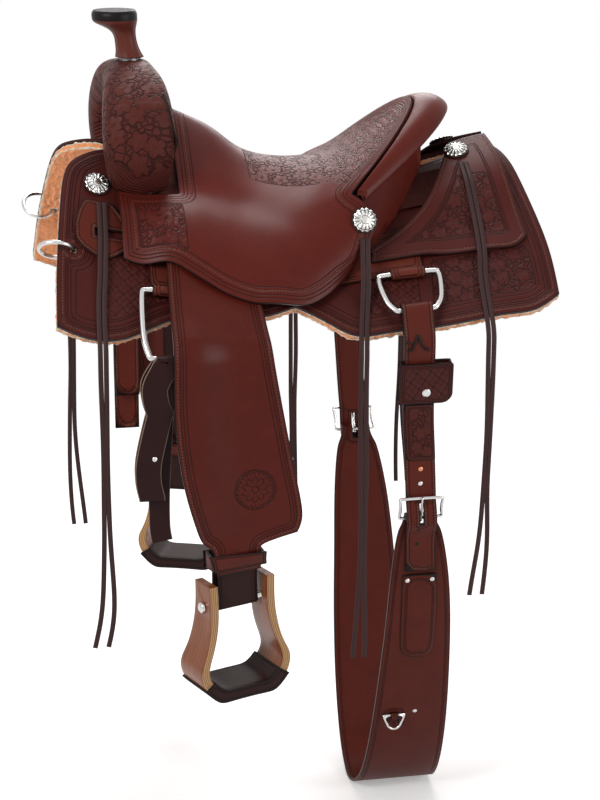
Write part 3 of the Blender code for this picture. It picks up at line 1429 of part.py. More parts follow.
STRING_STATIONS = {
    # each string's stations (x, q, lift) from its concho to its hang, its tips' height and the height of its split
    "front": (
        (
            (-0.309, 0.118, 0.0064), (-0.311, 0.150, 0.0064), (-0.316, 0.185, 0.0062), (-0.322, 0.220, 0.0020),
            (-0.325, 0.248, 0.0008), (-0.326, 0.262, 0.0008), (-0.326, 0.276, 0.0008), (-0.326, 0.300, 0.0008),
        ),
        -0.580,
        -0.508,
    ),
    "mid": (
        (
            (0.055, 0.208, 0.0070), (0.048, 0.226, 0.0030), (0.043, 0.248, 0.0008), (0.041, 0.262, 0.0008),
            (0.040, 0.276, 0.0008), (0.040, 0.300, 0.0008),
        ),
        -0.625,
        -0.500,
    ),
    "rear": (
        (
            (0.231, 0.058, 0.0), (0.232, 0.090, 0.0), (0.234, 0.124, 0.0), (0.234, 0.150, 0.0), (0.232, 0.178, 0.0072),
            (0.229, 0.196, 0.0020), (0.226, 0.222, 0.0008), (0.225, 0.248, 0.0008), (0.225, 0.262, 0.0008),
            (0.225, 0.276, 0.0008), (0.225, 0.300, 0.0008),
        ),
        -0.540,
        -0.310,
    ),
}
CONCHO_PLACES = {
    # each concho's place (x, q) and its lift over the skirt
    "front": (-0.313, 0.098, 0.0009),
    "rear": (0.231, 0.036, 0.0159),
}


def over_back_jockey(x, q):
    return back_jockey_lift(x, q) + JOCKEY_LEATHER + 3 * LAYER_GAP


def conchos_and_strings(side):
    ear, ear_normal = ear_frame()
    for name, (x, q, lift) in CONCHO_PLACES.items():
        normal = drape_normal(x, q)
        concho(f"concho_{name}_{SIDE_NAMES[side]}", side, side_point(x, q, 0) + normal * lift, normal)
    concho(f"concho_mid_{SIDE_NAMES[side]}", side, ear + ear_normal * TOUCH_GAP, ear_normal)
    for name, (stations, tip_z, split_z) in STRING_STATIONS.items():
        laid = [side_point(x, q, lift or over_back_jockey(x, q)) for x, q, lift in stations]
        if name == "mid":
            below = ear + Vector((0, 0.004, -0.023)) + ear_normal * 2.5 * LAYER_GAP
            laid = [below, below + Vector((-0.002, 0.008, -0.026))] + laid
        string(f"strings_{name}_{SIDE_NAMES[side]}", side, laid, tip_z, split_z)


def build():
    for side in (NEAR, OFF):
        tree_bar(side)
    tree_fork()
    fork_cover()
    horn_core()
    horn_cover()
    seat_cover()
    ground_seat()
    tree_cantle()
    cantle_back()
    for side in (NEAR, OFF):
        where = SIDE_NAMES[side]
        skirt(side)
        fleece(side)
        back_jockey(side)
        rigging_leather(side)
        dee(f"front_dee_{where}", side, FRONT_DEE_X, FRONT_DEE_Q, FRONT_DEE_LEAN, FRONT_DEE_WIDTH, FRONT_DEE_DROP)
        dee(f"rear_dee_{where}", side, REAR_DEE_X, REAR_DEE_Q, REAR_DEE_LEAN, REAR_DEE_WIDTH, REAR_DEE_DROP)
        breast_dee(side)
        fender(side)
        stirrup_leather(side)
        stirrup(side)
        stirrup_bolt(side)
        tread_cover(side)
        hobble_strap(side)
        flank_billet(side)
        buckle(side)
        buckle_tongue(side)
        conchos_and_strings(side)
    latigo_keeper()
    hanging_strap("latigo", NEAR, LATIGO_TAIL_Z, LATIGO_FOLD_Z, "latigo_leather")
    hanging_strap("off_billet", OFF, OFF_BILLET_TAIL_Z, LATIGO_FOLD_Z, "leather")
    cinch_body()
    cinch_ring()
    snap_keeper()


build()
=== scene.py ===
"""A ranch cutting saddle: its leather, wool, wood and metal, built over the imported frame, in a plain studio.

Metres, +Z up, the horse's head towards -X and the near side towards -Y, as in the frame.
"""

import json
import logging
import math
from collections.abc import Callable, Iterable, Sequence
from dataclasses import dataclass
from enum import Enum

import bmesh
import bpy
import numpy as np
from mathutils import Matrix, Vector, noise
from mathutils.bvhtree import BVHTree
from mathutils.kdtree import KDTree

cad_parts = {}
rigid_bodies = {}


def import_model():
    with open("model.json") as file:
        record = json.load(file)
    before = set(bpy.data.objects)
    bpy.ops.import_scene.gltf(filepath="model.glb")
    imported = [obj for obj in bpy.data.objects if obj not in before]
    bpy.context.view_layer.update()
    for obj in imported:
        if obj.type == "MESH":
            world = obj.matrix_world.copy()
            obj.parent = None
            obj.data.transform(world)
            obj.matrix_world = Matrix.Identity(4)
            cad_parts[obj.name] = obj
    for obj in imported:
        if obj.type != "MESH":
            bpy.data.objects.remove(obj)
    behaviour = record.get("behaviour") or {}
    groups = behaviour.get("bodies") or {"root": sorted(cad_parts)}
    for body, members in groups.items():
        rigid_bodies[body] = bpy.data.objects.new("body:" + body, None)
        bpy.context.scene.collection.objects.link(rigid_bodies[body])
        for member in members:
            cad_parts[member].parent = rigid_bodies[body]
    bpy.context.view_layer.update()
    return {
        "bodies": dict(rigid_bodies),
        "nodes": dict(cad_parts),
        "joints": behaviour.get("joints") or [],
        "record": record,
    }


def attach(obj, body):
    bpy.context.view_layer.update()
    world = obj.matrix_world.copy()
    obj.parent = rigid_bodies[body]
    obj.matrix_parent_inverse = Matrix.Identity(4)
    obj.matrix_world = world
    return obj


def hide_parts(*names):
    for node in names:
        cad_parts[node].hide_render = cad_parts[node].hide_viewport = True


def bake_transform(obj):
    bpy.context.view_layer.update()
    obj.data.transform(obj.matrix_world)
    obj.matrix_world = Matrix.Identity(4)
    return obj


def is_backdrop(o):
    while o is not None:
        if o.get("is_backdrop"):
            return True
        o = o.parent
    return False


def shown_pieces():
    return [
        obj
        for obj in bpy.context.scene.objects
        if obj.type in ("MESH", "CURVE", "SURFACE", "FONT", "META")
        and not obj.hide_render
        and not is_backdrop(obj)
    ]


log = logging.getLogger("saddle")
Colour = tuple[float, float, float]
Point = tuple[float, float, float]


class Side(Enum):
    """The two sides of the saddle, with the sign that each has along Y."""

    NEAR = -1
    OFF = 1

    @property
    def label(self) -> str:
        """The side's name, as the nodes spell it."""
        return self.name.lower()


# Shader graphs


class Value:
    """An output in a shader graph. Its operators add the Math nodes that they stand for."""

    def __init__(self, graph: "Graph", socket: bpy.types.NodeSocket) -> None:
        """Wraps a socket of a graph."""
        self.graph, self.socket = graph, socket

    def __add__(self, other: object) -> "Value":
        """The sum."""
        return self.graph.math("ADD", self, other)

    def __sub__(self, other: object) -> "Value":
        """The difference."""
        return self.graph.math("SUBTRACT", self, other)

    def __rsub__(self, other: object) -> "Value":
        """The difference, taken from a number."""
        return self.graph.math("SUBTRACT", other, self)

    def __mul__(self, other: object) -> "Value":
        """The product."""
        return self.graph.math("MULTIPLY", self, other)

    def __truediv__(self, other: object) -> "Value":
        """The quotient."""
        return self.graph.math("DIVIDE", self, other)

    def __abs__(self) -> "Value":
        """The value without its sign."""
        return self.graph.math("ABSOLUTE", self)

    def sine(self) -> "Value":
        """The sine."""
        return self.graph.math("SINE", self)

    def larger(self, other: object) -> "Value":
        """The larger of the two."""
        return self.graph.math("MAXIMUM", self, other)

    __radd__, __rmul__ = __add__, __mul__


class Graph:
    """A shader node tree with short ways to add nodes to it."""

    def __init__(self, tree: bpy.types.NodeTree) -> None:
        """Takes over a tree."""
        self.tree = tree

    def feed(self, socket: bpy.types.NodeSocket, value: object) -> None:
        """Sets an input, or links an output to it.

        Args:
            socket: the input.
            value: a number, a vector, a colour, an output or a Value.
        """
        value = value.socket if isinstance(value, Value) else value
        if isinstance(value, bpy.types.NodeSocket):
            self.tree.links.new(value, socket)
        elif isinstance(value, tuple) and socket.type == "RGBA" and len(value) == 3:
            socket.default_value = (*value, 1.0)
        else:
            socket.default_value = value

    def fill(self, node: bpy.types.Node, inputs: dict) -> None:
        """Feeds several inputs of a node, given by name or number."""
        for key, value in inputs.items():
            self.feed(node.inputs[key], value)

    def node(self, kind: str, inputs: dict | None = None, **settings: object) -> bpy.types.Node:
        """Adds one node.

        Args:
            kind: the node's type, without its ShaderNode prefix.
            inputs: what its inputs are fed, by name or number.
            **settings: attributes to set on it.

        Returns:
            The node.
        """
        made = self.tree.nodes.new(kind if kind.startswith("Node") else "ShaderNode" + kind)
        for key, value in settings.items():
            setattr(made, key, value)
        self.fill(made, inputs or {})
        return made

    def value(self, output: str | int, kind: str, inputs: dict | None = None, **settings: object) -> Value:
        """One output of a new node, the rest as in node()."""
        return Value(self, self.node(kind, inputs, **settings).outputs[output])

    def math(self, operation: str, *values: object) -> Value:
        """The result of a Math node."""
        return self.value(0, "Math", dict(enumerate(values)), operation=operation)

    def attribute(self, name: str) -> Value:
        """A number that the mesh carries at its points."""
        return self.value("Fac", "Attribute", attribute_name=name)

    def place(self) -> Value:
        """The object coordinates, in metres."""
        return self.value("Object", "TexCoord")

    def pattern(self, size: float) -> Value:
        """The leather's own flat coordinates, in units of a size in metres."""
        return self.scaled(self.value("UV", "UVMap", uv_map="pattern"), (1 / size,) * 3)

    def scaled(self, vector: Value, factors: tuple[float, ...]) -> Value:
        """A vector with each of its parts times a factor."""
        return self.value(0, "VectorMath", {0: vector, 1: factors}, operation="MULTIPLY")

    def seen(self) -> Value:
        """1 for rays that come straight from the camera, or from it by way of metal or glass."""
        path = self.node("LightPath").outputs
        return self.math("MAXIMUM", path["Is Camera Ray"], path["Is Glossy Ray"]).larger(path["Is Transmission Ray"])

    def axes(self, vector: Value) -> tuple[Value, ...]:
        """A vector's three parts."""
        return tuple(Value(self, part) for part in self.node("SeparateXYZ", {0: vector}).outputs)

    def noise(self, vector: Value, scale: float, detail: float = 2.0, rough: float = 0.5) -> Value:
        """Noise from 0 to 1 over a vector in metres; scale is in cells per metre."""
        return self.value(0, "TexNoise", {"Vector": vector, "Scale": scale, "Detail": detail, "Roughness": rough})

    def ease(self, value: Value, low: float, high: float) -> Value:
        """Eases a value.

        Args:
            value: the value.
            low: where the result is 0.
            high: where it is 1; it may be smaller than low.

        Returns:
            The result.
        """
        start, end = (0.0, 1.0) if low < high else (1.0, 0.0)
        ends = {"From Min": min(low, high), "From Max": max(low, high), "To Min": start, "To Max": end}
        return self.value(0, "MapRange", {"Value": value, **ends}, interpolation_type="SMOOTHSTEP")

    def band(self, value: Value, centre: float, width: float) -> Value:
        """1 where a value is at a centre, falling to 0 half a width away."""
        return self.ease(abs(value - centre), width / 2, width / 8)

    def blend(self, a: object, b: object, share: object) -> Value:
        """Colour a with a share of colour b mixed in."""
        return self.value(2, "Mix", {0: share, 6: a, 7: b}, data_type="RGBA", blend_type="MIX")


def shade(colour: Colour, factor: float) -> Colour:
    """A colour made darker or lighter."""
    return tuple(min(1.0, part * factor) for part in colour)


# Finishes

SURFACE = {"Color": "NodeSocketColor", "Roughness": "NodeSocketFloat", "Height": "NodeSocketFloat"}


@dataclass(frozen=True)
class Finish:
    """A finish, whose colour, roughness and height come from a node group of its own."""

    name: str
    colour: Colour
    relief = 0.001  # in metres, for a height of 1

    def surface(self, graph: Graph) -> tuple[Value, Value | float, Value]:
        """The colour, roughness and height."""
        raise NotImplementedError

    def constants(self) -> dict[str, float]:
        """The shader's inputs that hold one value each."""
        return {}

    def material(self) -> bpy.types.Material:
        """Builds the group and the material that shows it.

        Returns:
            The material.
        """
        tree = bpy.data.node_groups.new(self.name, "ShaderNodeTree")
        for label, kind in SURFACE.items():
            tree.interface.new_socket(label, in_out="OUTPUT", socket_type=kind)
        inner = Graph(tree)
        inner.node("NodeGroupOutput", dict(zip(SURFACE, self.surface(inner))))
        material, graph, shader = new_material(self.name)
        group = graph.node("Group", node_tree=tree).outputs
        bump = graph.value("Normal", "Bump", {"Distance": self.relief, "Height": group["Height"]})
        graph.fill(shader, {"Base Color": group["Color"], "Roughness": group["Roughness"], "Normal": bump})
        graph.fill(shader, self.constants())
        return material


def new_material(name: str) -> tuple[bpy.types.Material, Graph, bpy.types.Node]:
    """Makes a material.

    Args:
        name: its name.

    Returns:
        The material, its graph and its shader.
    """
    material = bpy.data.materials.new(name)
    material.use_nodes = True
    return material, Graph(material.node_tree), material.node_tree.nodes["Principled BSDF"]


@dataclass(frozen=True)
class Leather(Finish):
    """One finish of leather: its colour, edge, carved border lines, stitching and stamped fields, with painted shade
    in their cuts and pits.

    Distances are in metres from the piece's edge. Fields are read from the attributes basket
    and floral, which hold how far a point lies inside the field.
    """

    rough: float = 0.42
    edge_colour: Colour = (0.006, 0.004, 0.004)
    edge_width: float = 0.0022
    lines: tuple[float, ...] = ()
    line_width: float = 0.0022
    stitch: float = 0.0
    stitch_length: float = 0.0046
    thread: Colour = (0.13, 0.060, 0.040)
    ridges: float = 0.0
    mottle: float = 0.22
    grain: float = 0.10
    creases: float = 0.0
    specular: float = 0.13
    medallion: float = 0.0
    medallion_rings: tuple = ((10, 0.20, 0.62), (24, 0.66, 0.90))  # petals, start and end as shares of its radius
    basket_size: float = 0.0075
    basket_angle: float = math.radians(38)
    floral_size: float = 0.018
    # How dark the painted shade is in the cut lines, the rosette and the stamped pits
    recess: float = 0.78

    def basketweave(self, graph: Graph) -> tuple[Value, Value]:
        """The stamped weave.

        Args:
            graph: the finish's graph.

        Returns:
            Its height, from 0 in its pits to 1 on its strands, and its pits.
        """
        turned = {"Vector": graph.pattern(self.basket_size), "Angle": self.basket_angle}
        u, v, _ = graph.axes(graph.value(0, "VectorRotate", turned, rotation_type="Z_AXIS"))
        strands = [abs((a * math.pi).sine()) * abs((b * (math.pi / 2)).sine()) for a, b in ((u, v), (v, u))]
        odd = graph.math("MODULO", abs(graph.math("FLOOR", u) + graph.math("FLOOR", v)), 2.0)
        relief = graph.math("POWER", (strands[1] - strands[0]) * odd + strands[0], 0.6)
        return relief, graph.ease(relief, 0.55, 0.1)

    def carving(self, graph: Graph) -> tuple[Value, Value]:
        """Carved flowers among scrolled leaves.

        Args:
            graph: the finish's graph.

        Returns:
            Their height, from 0 in the sunk ground to 1 on the petals, and their outlines.
        """
        flat = graph.pattern(self.floral_size)
        swirl = graph.value("Color", "TexNoise", {"Vector": flat, "Scale": 1.1, "Detail": 1.0})
        bent = graph.value(0, "VectorMath", {0: swirl, 1: (0.9, 0.9, 0.0), 2: flat}, operation="MULTIPLY_ADD")
        cell = {"Vector": flat, "Scale": 0.72, "Randomness": 0.65}
        cells = graph.node("TexVoronoi", cell, voronoi_dimensions="2D", feature="F1").outputs
        away = graph.value(0, "VectorMath", {0: flat, 1: cells["Position"]}, operation="SUBTRACT")
        across, along, _ = graph.axes(away)
        angle = graph.math("ARCTAN2", along, across)
        far = Value(graph, cells["Distance"])
        within = abs((angle * 2.5).sine()) * 0.16 + 0.34 - far
        petal, rim = graph.ease(within, -0.015, 0.13), graph.band(within, 0.0, 0.10)
        flower = graph.ease(far, 0.12, 0.05) * 0.38 + 0.62 - abs((angle * 12.5).sine()) * 0.14
        leaves = {"Vector": bent, "Scale": 2.3}
        ribs = graph.value("Distance", "TexVoronoi", leaves, voronoi_dimensions="2D", feature="DISTANCE_TO_EDGE")
        leaf = graph.ease(ribs, 0.03, 0.22)
        stem = graph.value(1, "TexWave", {"Vector": bent, "Scale": 2.2, "Distortion": 3.0}, wave_type="BANDS")
        foliage = leaf * (stem * 0.35 + 0.55)
        height = (flower - foliage) * petal + foliage - rim * 0.55
        return height, ((1.0 - leaf).larger(rim) * (1.0 - petal * 0.8)).larger(rim)

    def rosette(self, graph: Graph) -> Value:
        """A stamped rosette about the place where the attributes medal_x and medal_z are 0.

        Args:
            graph: the finish's graph.

        Returns:
            How deep it is cut.
        """
        x, z = graph.attribute("medal_x"), graph.attribute("medal_z")
        far = graph.math("SQRT", x * x + z * z) / self.medallion
        angle = graph.math("ARCTAN2", z, x)
        marks = graph.band(far, 0.97, 0.10).larger(graph.band(far, 0.16, 0.10))
        for count, start, end in self.medallion_rings:
            ray = abs((angle * (count / 2)).sine())
            reach = ray * ((end - start) * 0.45) + (start + (end - start) * 0.55)
            outline = graph.ease(abs(reach - far), 0.05, 0.01)
            split = graph.ease(ray, 0.28, 0.05) * graph.band(far, (start + end) / 2, end - start)
            marks = marks.larger(outline).larger(split)
        return marks * graph.ease(far, 1.04, 1.0)

    def surface(self, graph: Graph) -> tuple[Value, Value, Value]:
        """The colour, roughness and height: grain, lines, stamped fields, stitches, the burnished edge and painted
        shade in the cuts and pits.

        Args:
            graph: the finish's graph.

        Returns:
            The three.
        """
        place, edge = graph.place(), graph.attribute("edge")
        broad, fine = graph.noise(place, 22.0, 3.0, 0.55), graph.noise(place, 160.0, 3.0, 0.6)
        # dark starts as a random tone; the cuts and stamped pits then add painted shade to it
        height, dark = graph.noise(place, 900.0, 2.0, 0.6) * self.grain, fine * 0.10
        if self.creases:
            height += graph.noise(graph.scaled(place, (60.0, 60.0, 14.0)), 1.0, 3.0, 0.6) * self.creases
        # Cuts, as (how deep, how high, how dark the painted shade in them is)
        cuts = [(graph.band(edge, line, self.line_width), 0.9, self.recess) for line in self.lines]
        if self.medallion:
            cuts.append((self.rosette(graph), 0.9, self.recess))
        if self.ridges:
            wave = (edge * (2 * math.pi / self.ridges)).sine() * 0.5 + 0.5
            # Painted shade in the grooves between the ridges
            cuts.append((graph.attribute("ridged") * wave, 0.7, 0.55))
        for cut, deep, cut_shade in cuts:
            height, dark = height - cut * deep, dark.larger(cut * cut_shade)
        for name, maker in (("basket", self.basketweave), ("floral", self.carving)):
            depth = graph.attribute(name)
            stamped, frame = graph.ease(depth, 0.0, 0.0012), graph.band(depth, -0.0004, self.line_width)
            relief, sunk = maker(graph)
            height = height + (relief - 0.6) * stamped * 1.1 - frame * 0.8
            # Painted shade in the stamped pits and in the frame line round each field
            dark = dark.larger((sunk * stamped).larger(frame) * self.recess)
        colour = graph.blend(shade(self.colour, 1 - self.mottle), self.colour, broad)
        colour = graph.blend(colour, shade(self.colour, 1.15), graph.ease(fine, 0.5, 0.9))
        # Painted shade: darker in the cuts and pits, along with the random tone
        colour = graph.blend(colour, shade(self.colour, 0.16), dark)
        if self.stitch:
            beat = (graph.attribute("run") * (2 * math.pi / self.stitch_length)).sine()
            dash = graph.ease(beat, -0.5, 0.0) * graph.band(edge, self.stitch, 0.0024)
            height = height - graph.band(edge, self.stitch, 0.0040) * 0.7 + dash * 0.8
            colour = graph.blend(colour, self.thread, dash * 0.85)
        if self.edge_width:
            colour = graph.blend(colour, self.edge_colour, graph.ease(edge, self.edge_width, self.edge_width * 0.35))
        return colour, fine * 0.10 + self.rough + dark * 0.18, height

    def constants(self) -> dict[str, float]:
        """The shader's inputs that hold one value each."""
        return {"Specular IOR Level": self.specular}


@dataclass(frozen=True)
class Wool(Finish):
    """Sheepskin: golden wool with a cream edge."""

    edge_colour: Colour
    edge_width: float = 0.0038
    relief = 0.003

    def surface(self, graph: Graph) -> tuple[Value, float, Value]:
        """The colour, roughness and height.

        Args:
            graph: the finish's graph.

        Returns:
            The three.
        """
        place = graph.place()
        curls, tufts = graph.noise(place, 260.0, 4.0, 0.7), graph.noise(place, 70.0, 3.0, 0.6)
        wool = graph.ease(graph.attribute("edge") + tufts * 0.004, self.edge_width * 0.6, self.edge_width * 1.4)
        colour = graph.blend(self.edge_colour, self.colour, wool)
        # Painted shade: darker where curls and tufts are both low, in the hollows of the wool
        colour = graph.blend(colour, shade(self.colour, 0.5), graph.ease(curls * tufts, 0.22, 0.08))
        return colour, 0.95, curls + tufts * 1.5

    def constants(self) -> dict[str, float]:
        """The shader's inputs that hold one value each."""
        return {"Specular IOR Level": 0.1, "Sheen Weight": 0.5, "Sheen Roughness": 0.6}


@dataclass(frozen=True)
class Metal(Finish):
    """A polished metal, dark in the hollows of its engraving."""

    rough: float
    scratch: float = 0.05
    tarnish: float = 0.0
    tarnish_colour: Colour = (0.02, 0.018, 0.016)

    def surface(self, graph: Graph) -> tuple[Value, Value, Value]:
        """The colour, roughness and height.

        Args:
            graph: the finish's graph.

        Returns:
            The three.
        """
        place = graph.place()
        smear = graph.noise(place, 120.0, 3.0, 0.6)
        hollow = graph.ease(graph.attribute("hollow"), 0.0, 1.0)
        colour = graph.blend(self.colour, shade(self.colour, 0.72), smear * 0.35)
        colour = graph.blend(colour, self.tarnish_colour, hollow * self.tarnish)
        return colour, smear * 0.12 + self.rough, graph.noise(place, 700.0) * self.scratch

    def constants(self) -> dict[str, float]:
        """The shader's inputs that hold one value each."""
        return {"Metallic": 1.0}


@dataclass(frozen=True)
class Oak(Finish):
    """Bent oak in layers, oiled."""

    pale: Colour

    def surface(self, graph: Graph) -> tuple[Value, Value, Value]:
        """The colour, roughness and height: grain along the bow, and layers across its thickness.

        Args:
            graph: the finish's graph.

        Returns:
            The three.
        """
        layer = graph.attribute("layer")
        along = {0: graph.attribute("run") * 14.0, 1: graph.attribute("across") * 260.0, 2: layer * 3.0}
        fibre = graph.noise(graph.value(0, "CombineXYZ", along), 1.0, 4.0, 0.65)
        joint = graph.band(graph.math("FRACT", layer * 4.0), 0.5, 0.60)
        colour = graph.blend(self.colour, shade(self.colour, 0.55), graph.ease(fibre, 0.38, 0.68))
        colour = graph.blend(colour, shade(self.colour, 1.35), graph.noise(graph.place(), 16.0, 2.0) * 0.5)
        layers = graph.blend(self.pale, shade(self.colour, 0.45), joint * 0.75)
        colour = graph.blend(colour, layers, graph.ease(graph.attribute("side"), 0.4, 0.7))
        return colour, fibre * 0.14 + 0.30, fibre * 0.12 - joint * 0.2

    def constants(self) -> dict[str, float]:
        """The shader's inputs that hold one value each."""
        return {"Coat Weight": 0.10, "Coat Roughness": 0.2, "Specular IOR Level": 0.3}


@dataclass(frozen=True)
class Plain(Finish):
    """A plain surface with a slight mottle, for what is inside the saddle."""

    rough: float = 0.6
    metallic: float = 0.0
    specular: float = 0.13

    def surface(self, graph: Graph) -> tuple[Value, Value, Value]:
        """The colour, roughness and height.

        Args:
            graph: the finish's graph.

        Returns:
            The three.
        """
        place = graph.place()
        spots = graph.noise(place, 60.0, 3.0)
        colour = graph.blend(self.colour, shade(self.colour, 0.7), spots)
        return colour, spots * 0.1 + self.rough, graph.noise(place, 500.0) * 0.1

    def constants(self) -> dict[str, float]:
        """The shader's inputs that hold one value each."""
        return {"Metallic": self.metallic, "Specular IOR Level": self.specular}


@dataclass(frozen=True)
class Floor(Finish):
    """A pale floor that burns out to white where it is lit, and keeps the shadows."""

    lift: float

    def material(self) -> bpy.types.Material:
        """Builds the material.

        Returns:
            The material.
        """
        material, graph, shader = new_material(self.name)
        graph.fill(shader, {"Base Color": self.colour, "Roughness": 0.9, "Emission Color": (1.0, 1.0, 1.0)})
        graph.fill(shader, {"Emission Strength": graph.seen() * self.lift})
        return material


SEAT_LEATHER = Leather(
    "seat_leather", (0.108, 0.0135, 0.0085), rough=0.31, lines=(0.0075, 0.0125, 0.0235), stitch=0.0185, mottle=0.3
)
SKIRT_LEATHER = Leather(
    "skirt_leather", (0.068, 0.0100, 0.0075), lines=(0.012, 0.0150, 0.0195, 0.0265), stitch=0.0075, mottle=0.3
)
JOCKEY_LEATHER = Leather("jockey_leather", (0.072, 0.0110, 0.0080), lines=(0.023, 0.0262), stitch=0.006, mottle=0.3)
SWELL_LEATHER = Leather("swell_leather", (0.092, 0.0170, 0.0120), lines=(0.005,), ridges=0.0050, floral_size=0.024)
CANTLE_LEATHER = Leather("cantle_leather", (0.104, 0.0140, 0.0090), rough=0.31, edge_width=0.0)
HORN_LEATHER = Leather("horn_leather", (0.128, 0.0300, 0.0200), rough=0.34, edge_width=0.003, creases=0.9)
WELT_LEATHER = Leather("welt_leather", (0.014, 0.007, 0.006), rough=0.36, edge_width=0.0)
FENDER_LEATHER = Leather(
    "fender_leather", (0.096, 0.0120, 0.0070), rough=0.30, medallion=0.030, lines=(0.0085, 0.0120, 0.0165),
    stitch=0.0050, mottle=0.35,
)
STRAP_LEATHER = Leather("strap_leather", (0.098, 0.0150, 0.0085), lines=(0.0055,), stitch=0.0032)
DARK_LEATHER = Leather("dark_leather", (0.022, 0.0062, 0.0050), lines=(0.003,), creases=0.3)
HOBBLE_LEATHER = Leather("hobble_leather", (0.090, 0.0160, 0.0100), rough=0.38, lines=(0.003,), creases=0.3)
LATIGO_LEATHER = Leather(
    "latigo_leather", (0.020, 0.0045, 0.0045), rough=0.40, edge_colour=(0.21, 0.14, 0.10), edge_width=0.0014,
    creases=0.5,
)
STRING_LEATHER = Leather("string_leather", (0.034, 0.0125, 0.0120), rough=0.50, edge_width=0.0, specular=0.22)
CINCH_LEATHER = Leather("cinch_leather", (0.100, 0.0145, 0.0080), lines=(0.0060, 0.0085), mottle=0.4)
SLEEVE_LEATHER = Leather("sleeve_leather", (0.082, 0.0150, 0.0100), lines=(0.004,), floral_size=0.014)
POUCH_LEATHER = Leather("pouch_leather", (0.066, 0.0120, 0.0095), lines=(0.0035,), creases=0.5)
RIGGING_LEATHER = Leather("rigging_leather", (0.135, 0.0260, 0.0150), lines=(0.005, 0.009), mottle=0.3)
ROSETTE_LEATHER = Leather("rosette_leather", (0.030, 0.012, 0.010), edge_width=0.0)
SHEEPSKIN = Wool("sheepskin", (0.93, 0.330, 0.100), (0.82, 0.73, 0.56))
STEEL = Metal("stainless_steel", (0.60, 0.59, 0.58), 0.16)
SILVER = Metal("engraved_silver", (0.66, 0.65, 0.62), 0.20, tarnish=0.95)
COPPER = Metal("copper", (0.60, 0.26, 0.13), 0.32)
OAK = Oak("oak", (0.205, 0.058, 0.017), (0.46, 0.26, 0.11))
RAWHIDE = Plain("stained_rawhide", (0.058, 0.0125, 0.0095))
BARE_STEEL = Plain("bare_steel", (0.20, 0.20, 0.21), 0.4, 1.0)
FLOOR = Floor("floor", (0.90, 0.90, 0.90), 0.30)

FRAME: dict = {}
MATERIALS: dict[str, bpy.types.Material] = {}


def paint(obj: bpy.types.Object, finish: Finish) -> None:
    """Gives the object a finish, building its material the first time.

    Args:
        obj: the object.
        finish: its finish.
    """
    if finish.name not in MATERIALS:
        MATERIALS[finish.name] = finish.material()
    obj.data.materials.clear()
    obj.data.materials.append(MATERIALS[finish.name])


# Mesh tools


def activate(obj: bpy.types.Object) -> None:
    """Makes the object the only selected one, and the active one.

    Args:
        obj: the object.
    """
    bpy.ops.object.select_all(action="DESELECT")
    obj.select_set(True)
    bpy.context.view_layer.objects.active = obj


def smooth_by(obj: bpy.types.Object, degrees: float) -> None:
    """Shades an object smooth, apart from edges that fold by more than an angle."""
    activate(obj)
    bpy.ops.object.shade_smooth_by_angle(angle=math.radians(degrees))


def apply_modifier(obj: bpy.types.Object, kind: str, **settings: object) -> None:
    """Adds a modifier and applies it.

    Args:
        obj: the object.
        kind: the modifier's type.
        **settings: attributes to set on it.
    """
    activate(obj)
    modifier = obj.modifiers.new(kind, kind)
    for key, value in settings.items():
        setattr(modifier, key, value)
    bpy.ops.object.modifier_apply(modifier=kind)


def round_edges(obj: bpy.types.Object, radius: float, degrees: float) -> None:
    """Rounds the edges that fold by more than an angle."""
    angle = math.radians(degrees)
    apply_modifier(obj, "BEVEL", width=radius, segments=2, limit_method="ANGLE", angle_limit=angle)


def link_mesh(name: str, mesh: bpy.types.Mesh) -> bpy.types.Object:
    """Puts a mesh in the scene as an object.

    Args:
        name: the object's name.
        mesh: the mesh.

    Returns:
        The object.
    """
    obj = bpy.data.objects.new(name, mesh)
    bpy.context.scene.collection.objects.link(obj)
    return obj


def link_bmesh(name: str, bm: bmesh.types.BMesh) -> bpy.types.Object:
    """Puts a bmesh in the scene as an object, and frees it.

    Args:
        name: the object's name.
        bm: the bmesh.

    Returns:
        The object.
    """
    mesh = bpy.data.meshes.new(name)
    bm.to_mesh(mesh)
    bm.free()
    return link_mesh(name, mesh)


def bridge(bm: bmesh.types.BMesh, rings: Sequence[Sequence[bmesh.types.BMVert]]) -> None:
    """Joins rings with faces, every one to the next.

    Args:
        bm: the bmesh that the rings are in.
        rings: the rings, of as many points each.
    """
    for a, b in zip(rings, rings[1:]):
        for k in range(len(a)):
            bm.faces.new((a[k], a[(k + 1) % len(a)], b[(k + 1) % len(a)], b[k]))


def soft_copy(node: str, levels: int, crease: float, bevel: float) -> bpy.types.Object:
    """A smooth copy of a CAD node's mesh, with its sharp edges kept and slightly rounded.

    Args:
        node: the CAD node.
        levels: how often the faces are halved.
        crease: edges that fold by more than this angle, in degrees, stay sharp.
        bevel: the radius of the sharp edges, in metres.

    Returns:
        The new object.
    """
    obj = link_mesh(f"{node}_skin", FRAME["nodes"][node].data.copy())
    activate(obj)
    bpy.ops.object.mode_set(mode="EDIT")
    bpy.ops.mesh.select_all(action="SELECT")
    bpy.ops.mesh.remove_doubles(threshold=1e-5)
    bpy.ops.mesh.tris_convert_to_quads(face_threshold=math.radians(60), shape_threshold=math.radians(60))
    bpy.ops.mesh.normals_make_consistent(inside=False)
    bpy.ops.object.mode_set(mode="OBJECT")
    mark_sharp(obj, crease)
    hold_shape(obj)
    apply_modifier(obj, "SUBSURF", levels=levels, render_levels=levels)
    mark_sharp(obj, crease)
    record_rim(obj, crease)
    if bevel:
        round_edges(obj, bevel, crease)
    smooth_by(obj, 60)
    return obj


